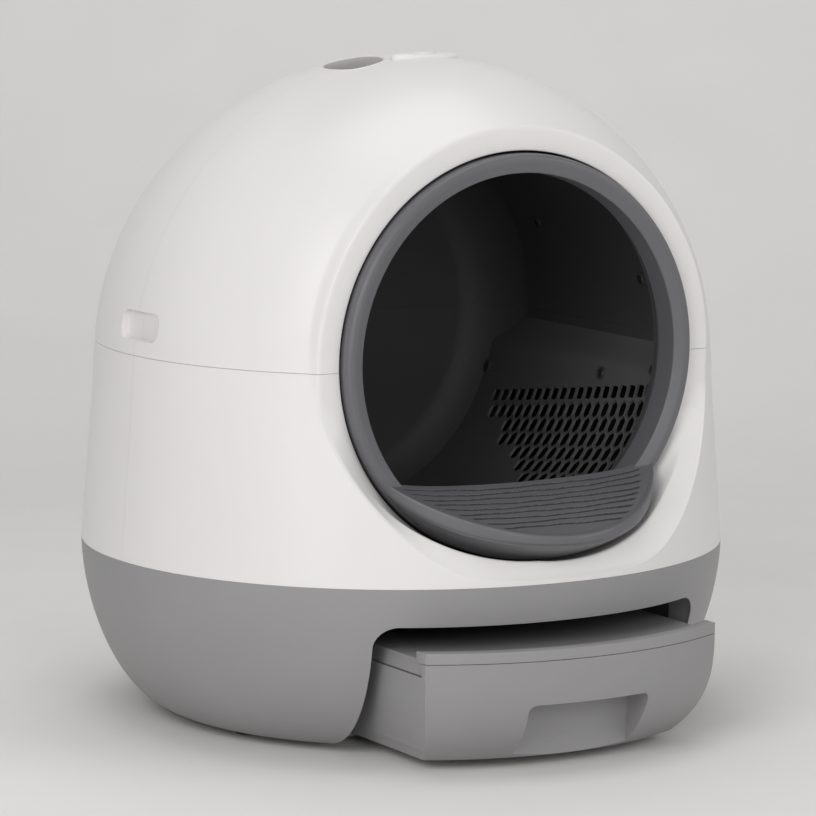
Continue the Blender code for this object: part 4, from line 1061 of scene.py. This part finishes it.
pad_place = (0.0, body_middle_y + pad_depth)
hole_sizes = pad_half_width + fitting_gap, pad_half_length + fitting_gap
hole = ellipse(*hole_sizes, pad_place, pad_steps_round)
carve(upper_shell, extruded("pad_hole", "Z", hole, pad_cut_low, pad_cut_high))
mount(upper_shell, shell_plastic, "white_shell", "housing", "upper_housing")

pad_rows = []
for height, inset in pad_sections:
    sizes = pad_half_width - inset, pad_half_length - inset
    pad_rows.append([(a, b, height) for a, b in ellipse(*sizes, pad_place, pad_steps_round)])
pad = skin("top_pad", pad_rows, True, True)
well_radius = button_radius + fitting_gap
well = ellipse(well_radius, well_radius, pad_place, button_steps_round)
carve(pad, extruded("well", "Z", well, pad_crown - well_depth, pad_crown + well_spare))
mount(pad, white_plastic, "white_shell", "housing", "control_pad")

button_rows = []
for height, radius in button_sections:
    outline = ellipse(radius, radius, pad_place, button_steps_round)
    button_rows.append([(a, b, height) for a, b in outline])
button = skin("top_button", button_rows, True, True)
mount(button, white_plastic, "white_shell", "button", "push_button")


def dome_height(x, depth):
    """Height of the dome's outside over a place in plan."""
    top = shoulder_height + dome_rise
    return float(last_inside(shoulder_height, top, lambda up: is_inside(x, np.array(depth), up)))


def window_rows(sections):
    """Rows that follow the dome, from pairs of a share of the window's size and a rise."""
    rows = []
    for share, rise in sections:
        row = []
        sizes = panel_half_width * share, panel_half_length * share
        for x, y in ellipse(*sizes, panel_centre, pad_steps_round):
            row.append((x, y, dome_height(x, y - body_middle_y) + rise))
        rows.append(row)
    return rows


window_colour = (0.150, 0.135, 0.125)
window_glass = moulded_plastic(
    "smoked window", window_colour, roughness=0.16,
    grain_size=0.004, grain_depth=0.00001, mottle=0.03,
)
glass_back, glass_rise = -0.0012, 0.0003
glass = [(0.05, glass_back), (1.0, glass_back), (1.0, -0.0002), (0.97, 0.00025)]
glass += [(share, glass_rise) for share in (0.9, 0.7, 0.45, 0.2, 0.03)]
window = skin("status_window", window_rows(glass), True, True)
mount(window, window_glass, "panel", "housing", "status_panel")
bezel = [(1.0, -0.0010), (1.045, -0.0010), (1.045, 0.0003), (1.03, 0.0006), (1.012, 0.0006)]
bezel += [(1.0, 0.0002), (1.0, -0.0010)]
window_frame = skin("status_window_frame", window_rows(bezel))
close_ring(window_frame)
mount(window_frame, white_plastic, "white_shell", "housing")

# Waste drawer: a moulded grey tub whose front takes up the base's curve at the lid and falls back
# below it, with a finger recess over the floor. Its sides turn in towards the floor, and it stands
# partly pulled out.
drawer_pull = 0.046
drawer_bottom, drawer_side_top, drawer_front_top, lip_top = 0.0083, 0.0795, 0.0903, 0.0990
drawer_half_width = 0.1335
drawer_lean, drawer_lean_power = 0.0182, 2.17
drawer_back = 0.105
drawer_wall, fascia_wall, floor_wall, floor_spare = 0.0025, 0.005, 0.005, 0.001
fascia_fall, fascia_power = 0.0426, 3.2
recess_half_width, recess_taper, recess_top, recess_back = 0.0553, 0.0036, 0.0555, -0.2125
recess_corner, recess_sill, recess_sweep = 0.006, 0.013, 0.012
runner_gap, runner_step = 0.0006, 0.0003
drawer_round, round_steps, round_angle = 0.0016, 3, 32
overhead, over_rim, spare = 0.2, 0.12, 0.01


def fascia_half_width(height):
    """The front keeps the body's plan at the lid and falls back towards the floor."""
    at_lid = bowl_profile(lip_top, parting_height, 2)[1][0]
    share = np.clip((lip_top - height) / (lip_top - tub_floor), 0, 1)
    return at_lid - fascia_fall * share**fascia_power


def fascia_block(name, low, high, inset=0.0, steps=24):
    """The pulled out front as a solid, with its rows closer near the floor."""
    azimuths = np.linspace(0, 2 * math.pi, body_steps_round, endpoint=False)
    rows = []
    for share in np.sqrt(np.linspace(1, 0, steps)):
        height = high - (high - low) * share
        radii = plan_radius(azimuths, fascia_half_width(height) - inset)
        x, y = radii * np.sin(azimuths), body_middle_y - drawer_pull - radii * np.cos(azimuths)
        rows.append(np.stack([x, y, np.full_like(x, height)], 1))
    return skin(name, rows, True, True)


def drawer_outline(inset, low, top, steps=14):
    right = []
    for share in np.sqrt(np.linspace(1, 0, steps)):
        height = drawer_side_top - (drawer_side_top - low) * share
        drop = (drawer_side_top - height) / (drawer_side_top - drawer_bottom)
        right.append((drawer_half_width - inset - drawer_lean * drop**drawer_lean_power, height))
    right.append((drawer_half_width - inset, top))
    left = [(-across, height) for across, height in reversed(right)]
    return right + left


def recess_outline(grow):
    low = -drawer_bottom
    wide, top = recess_half_width + grow, recess_top + grow
    narrow = recess_half_width - recess_taper + grow
    outline = [(-narrow, low), (narrow, low), (wide, top), (-wide, top)]
    return rounded(outline, [0, 0, recess_corner, recess_corner])


drawer_shift = body_middle_y - drawer_pull
drawer = fascia_block("waste_drawer_tub", drawer_bottom, drawer_front_top)
sides = drawer_outline(0.0, drawer_bottom, overhead)
front = body_middle_y - body_half_depth - drawer_pull - spare
carve(drawer, extruded("sides", "Y", sides, front, drawer_shift + drawer_back), "INTERSECT")
carve(drawer, fascia_block("rim", drawer_side_top, over_rim, fascia_wall))
hollow_low = drawer_bottom + floor_wall - floor_spare
hollow = fascia_block("hollow", hollow_low, over_rim, fascia_wall)
inside = drawer_outline(drawer_wall, drawer_bottom + floor_wall, overhead)
inside_back = drawer_shift + drawer_back - drawer_wall
carve(hollow, extruded("inside", "Y", inside, front, inside_back), "INTERSECT")
backing_back = drawer_shift + recess_back + drawer_wall
carve(hollow, extruded("backing", "Y", recess_outline(drawer_wall), front, backing_back))
carve(drawer, hollow)
sill = float(fascia_half_width(drawer_bottom)) * body_half_depth / body_half_width
sill = drawer_shift - sill
wall_foot = (drawer_shift + recess_back, drawer_bottom + recess_sill)
side_view = [(front, -spare), (sill, -spare), (sill, drawer_bottom), wall_foot]
side_view += [(wall_foot[0], overhead), (front, overhead)]
side_view = rounded(side_view, [0, 0, 0, recess_sweep, 0, 0], 10)
recess = extruded("recess", "Y", recess_outline(0.0), front - spare, drawer_shift)
beside = 2 * recess_half_width
carve(recess, extruded("recess_side", "X", side_view, -beside, beside), "INTERSECT")
carve(drawer, recess)
under_low = (-overhead, drawer_shift + bay_front - runner_gap, 0.0)
runner_height = tub_floor + shell_wall + runner_step
under_high = (overhead, drawer_shift + drawer_back + spare, runner_height)
carve(drawer, block("under", under_low, under_high))
round_edges(drawer, drawer_round, round_steps, round_angle)
mount(drawer, grey_plastic, "grey_base", "drawer", "waste_drawer")

# Bag frame: the flat moulded lid that clamps the bag, with a wide opening under the chute, skirts
# inside the drawer's sides, and a raised lip that lines up with the drawer's front.
frame_half_width, frame_top = 0.1310, 0.0925
lip_band, frame_wall = 0.012, 0.003
frame_hole_half_width, frame_hole_half_length, frame_hole_corner = 0.088, 0.078, 0.012
frame_gap, frame_corner, frame_round, under_lid = 0.0005, 0.01, 0.0011, 0.07

lid = fascia_block("bag_frame_lid", drawer_side_top + frame_gap, frame_top, fascia_wall + frame_gap)
wide, back = frame_half_width, drawer_shift + drawer_back
plate_side = [(-wide, front), (wide, front), (wide, back), (-wide, back)]
plate_side = rounded(plate_side, [0, 0, frame_corner, frame_corner])
carve(lid, extruded("plate", "Z", plate_side, 0.0, overhead), "INTERSECT")
lip = fascia_block("lip", drawer_front_top + frame_gap, lip_top)
lip_back = body_middle_y - (body_half_depth - drawer_half_width / 3) - drawer_pull / 2
low, high = (-drawer_half_width, front, 0.0), (drawer_half_width, lip_back, overhead)
carve(lip, block("lip_ends", low, high), "INTERSECT")
carve(lip, fascia_block("lip_inside", drawer_side_top, over_rim, lip_band))
carve(lid, lip, "UNION")
pocket = fascia_block("pocket", under_lid, frame_top - frame_wall, lip_band + frame_wall)
inner = frame_half_width - frame_wall
low, high = (-inner, front, 0.0), (inner, back - frame_wall, overhead)
carve(pocket, block("pocket_sides", low, high), "INTERSECT")
carve(lid, pocket)
hole = rectangle(frame_hole_half_width, frame_hole_half_length)
hole = [(a, b + drawer_shift) for a, b in rounded(hole, [frame_hole_corner] * 4)]
carve(lid, extruded("bag_hole", "Z", hole, 0.0, overhead))
round_edges(lid, frame_round, round_steps, round_angle)
mount(lid, grey_plastic, "grey_base", "drawer", "bag_frame")

# Room: a pale matt floor that curves up into a backdrop. Three soft lamps on the left and in front
# do most of the lighting, with a weaker one on the right and one overhead, and the camera stands at
# the angle and distance of the photograph.
floor_size, floor_end, floor_turn = 3.2, 1.1, math.radians(-30.5)
curve_radius, curve_steps = 0.9, 16
floor_colour = (0.80, 0.79, 0.775)
profile = [(-floor_size, 0.0), (floor_end, 0.0)]
for step in range(1, curve_steps + 1):
    turn = math.pi / 2 * step / curve_steps
    depth, height = curve_radius * math.sin(turn), curve_radius * (1 - math.cos(turn))
    profile.append((floor_end + depth, height))
profile.append((floor_end + curve_radius, floor_size))
builder = bmesh.new()
previous = None
for depth, height in profile:
    pair = [builder.verts.new((x, depth, height)) for x in (-floor_size, floor_size)]
    if previous:
        builder.faces.new((previous[0], previous[1], pair[1], pair[0]))
    previous = pair
mesh = bpy.data.meshes.new("studio_floor")
builder.to_mesh(mesh)
builder.free()
studio_floor = bpy.data.objects.new("studio_floor", mesh)
bpy.context.scene.collection.objects.link(studio_floor)
studio_floor.rotation_euler = (0, 0, floor_turn)
floor_paint = moulded_plastic(
    "pale floor", floor_colour, roughness=0.75,
    grain_size=0.02, grain_depth=0.00005, mottle=0.01, gloss=0.2,
)
studio_floor.data.materials.append(floor_paint)
studio_floor.data.shade_smooth()
studio_floor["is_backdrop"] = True


def softbox(name, place, target, size, power):
    light = bpy.data.lights.new(name, "AREA")
    light.shape = "RECTANGLE"
    light.size, light.size_y = size
    light.energy = power
    lamp = bpy.data.objects.new(name, light)
    lamp.location = place
    aim = Vector(target) - Vector(place)
    lamp.rotation_euler = aim.to_track_quat("-Z", "Y").to_euler()
    bpy.context.scene.collection.objects.link(lamp)
    return lamp


body_heart, body_shoulder = (0, 0, 0.25), (0, 0, 0.3)
softbox("key_light", (-2.3, -1.5, 1.7), body_heart, (1.6, 1.6), 30)
softbox("low_light", (-2.4, -1.5, 0.45), body_shoulder, (1.2, 0.8), 6.5)
softbox("front_light", (-0.7, -2.8, 1.0), body_heart, (1.2, 1.2), 15)
softbox("fill_light", (1.9, -1.9, 1.2), body_heart, (1.4, 1.4), 12)
softbox("top_light", (0.0, 0.2, 2.6), body_shoulder, (1.8, 1.8), 18)
air_colour, air_strength = (0.93, 0.94, 0.96, 1), 0.33
world = bpy.data.worlds.new("studio")
world.use_nodes = True
world.node_tree.nodes["Background"].inputs["Color"].default_value = air_colour
world.node_tree.nodes["Background"].inputs["Strength"].default_value = air_strength
bpy.context.scene.world = world
bpy.context.scene.view_settings.view_transform = "Standard"

camera_azimuth = math.radians(-30.54)
camera_elevation = math.radians(7.97)
camera_roll = math.radians(0.41)
camera_distance = 3.37025
camera_target = Vector((0, body_middle_y, 0.246))
photo_width, focal_pixels, sensor_width = 816, 4080.32, 36
middle_column, middle_row = 402.13, 408.62
right = Vector((math.cos(camera_azimuth), math.sin(camera_azimuth), 0))
flat = math.cos(camera_elevation)
back = math.sin(camera_azimuth) * flat, -math.cos(camera_azimuth) * flat
back = Vector((*back, math.sin(camera_elevation)))
camera_data = bpy.data.cameras.new("camera")
camera_data.sensor_width = sensor_width
camera_data.lens = sensor_width * (focal_pixels / photo_width)
camera_data.shift_x = (photo_width / 2 - middle_column) / photo_width
camera_data.shift_y = (middle_row - photo_width / 2) / photo_width
camera_data.clip_end = 20
camera = bpy.data.objects.new("camera", camera_data)
camera.location = camera_target + back * camera_distance
camera.rotation_mode = "QUATERNION"
up = back.cross(right)
side = right * math.cos(camera_roll) + up * math.sin(camera_roll)
upright = up * math.cos(camera_roll) - right * math.sin(camera_roll)
axes = [[side[row], upright[row], back[row]] for row in range(3)]
camera.rotation_quaternion = Matrix(axes).to_quaternion()
bpy.context.scene.collection.objects.link(camera)
bpy.context.scene.camera = camera

low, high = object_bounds()
sizes = {"cad": [list(cad_low), list(cad_high)], "visual": [list(low), list(high)]}
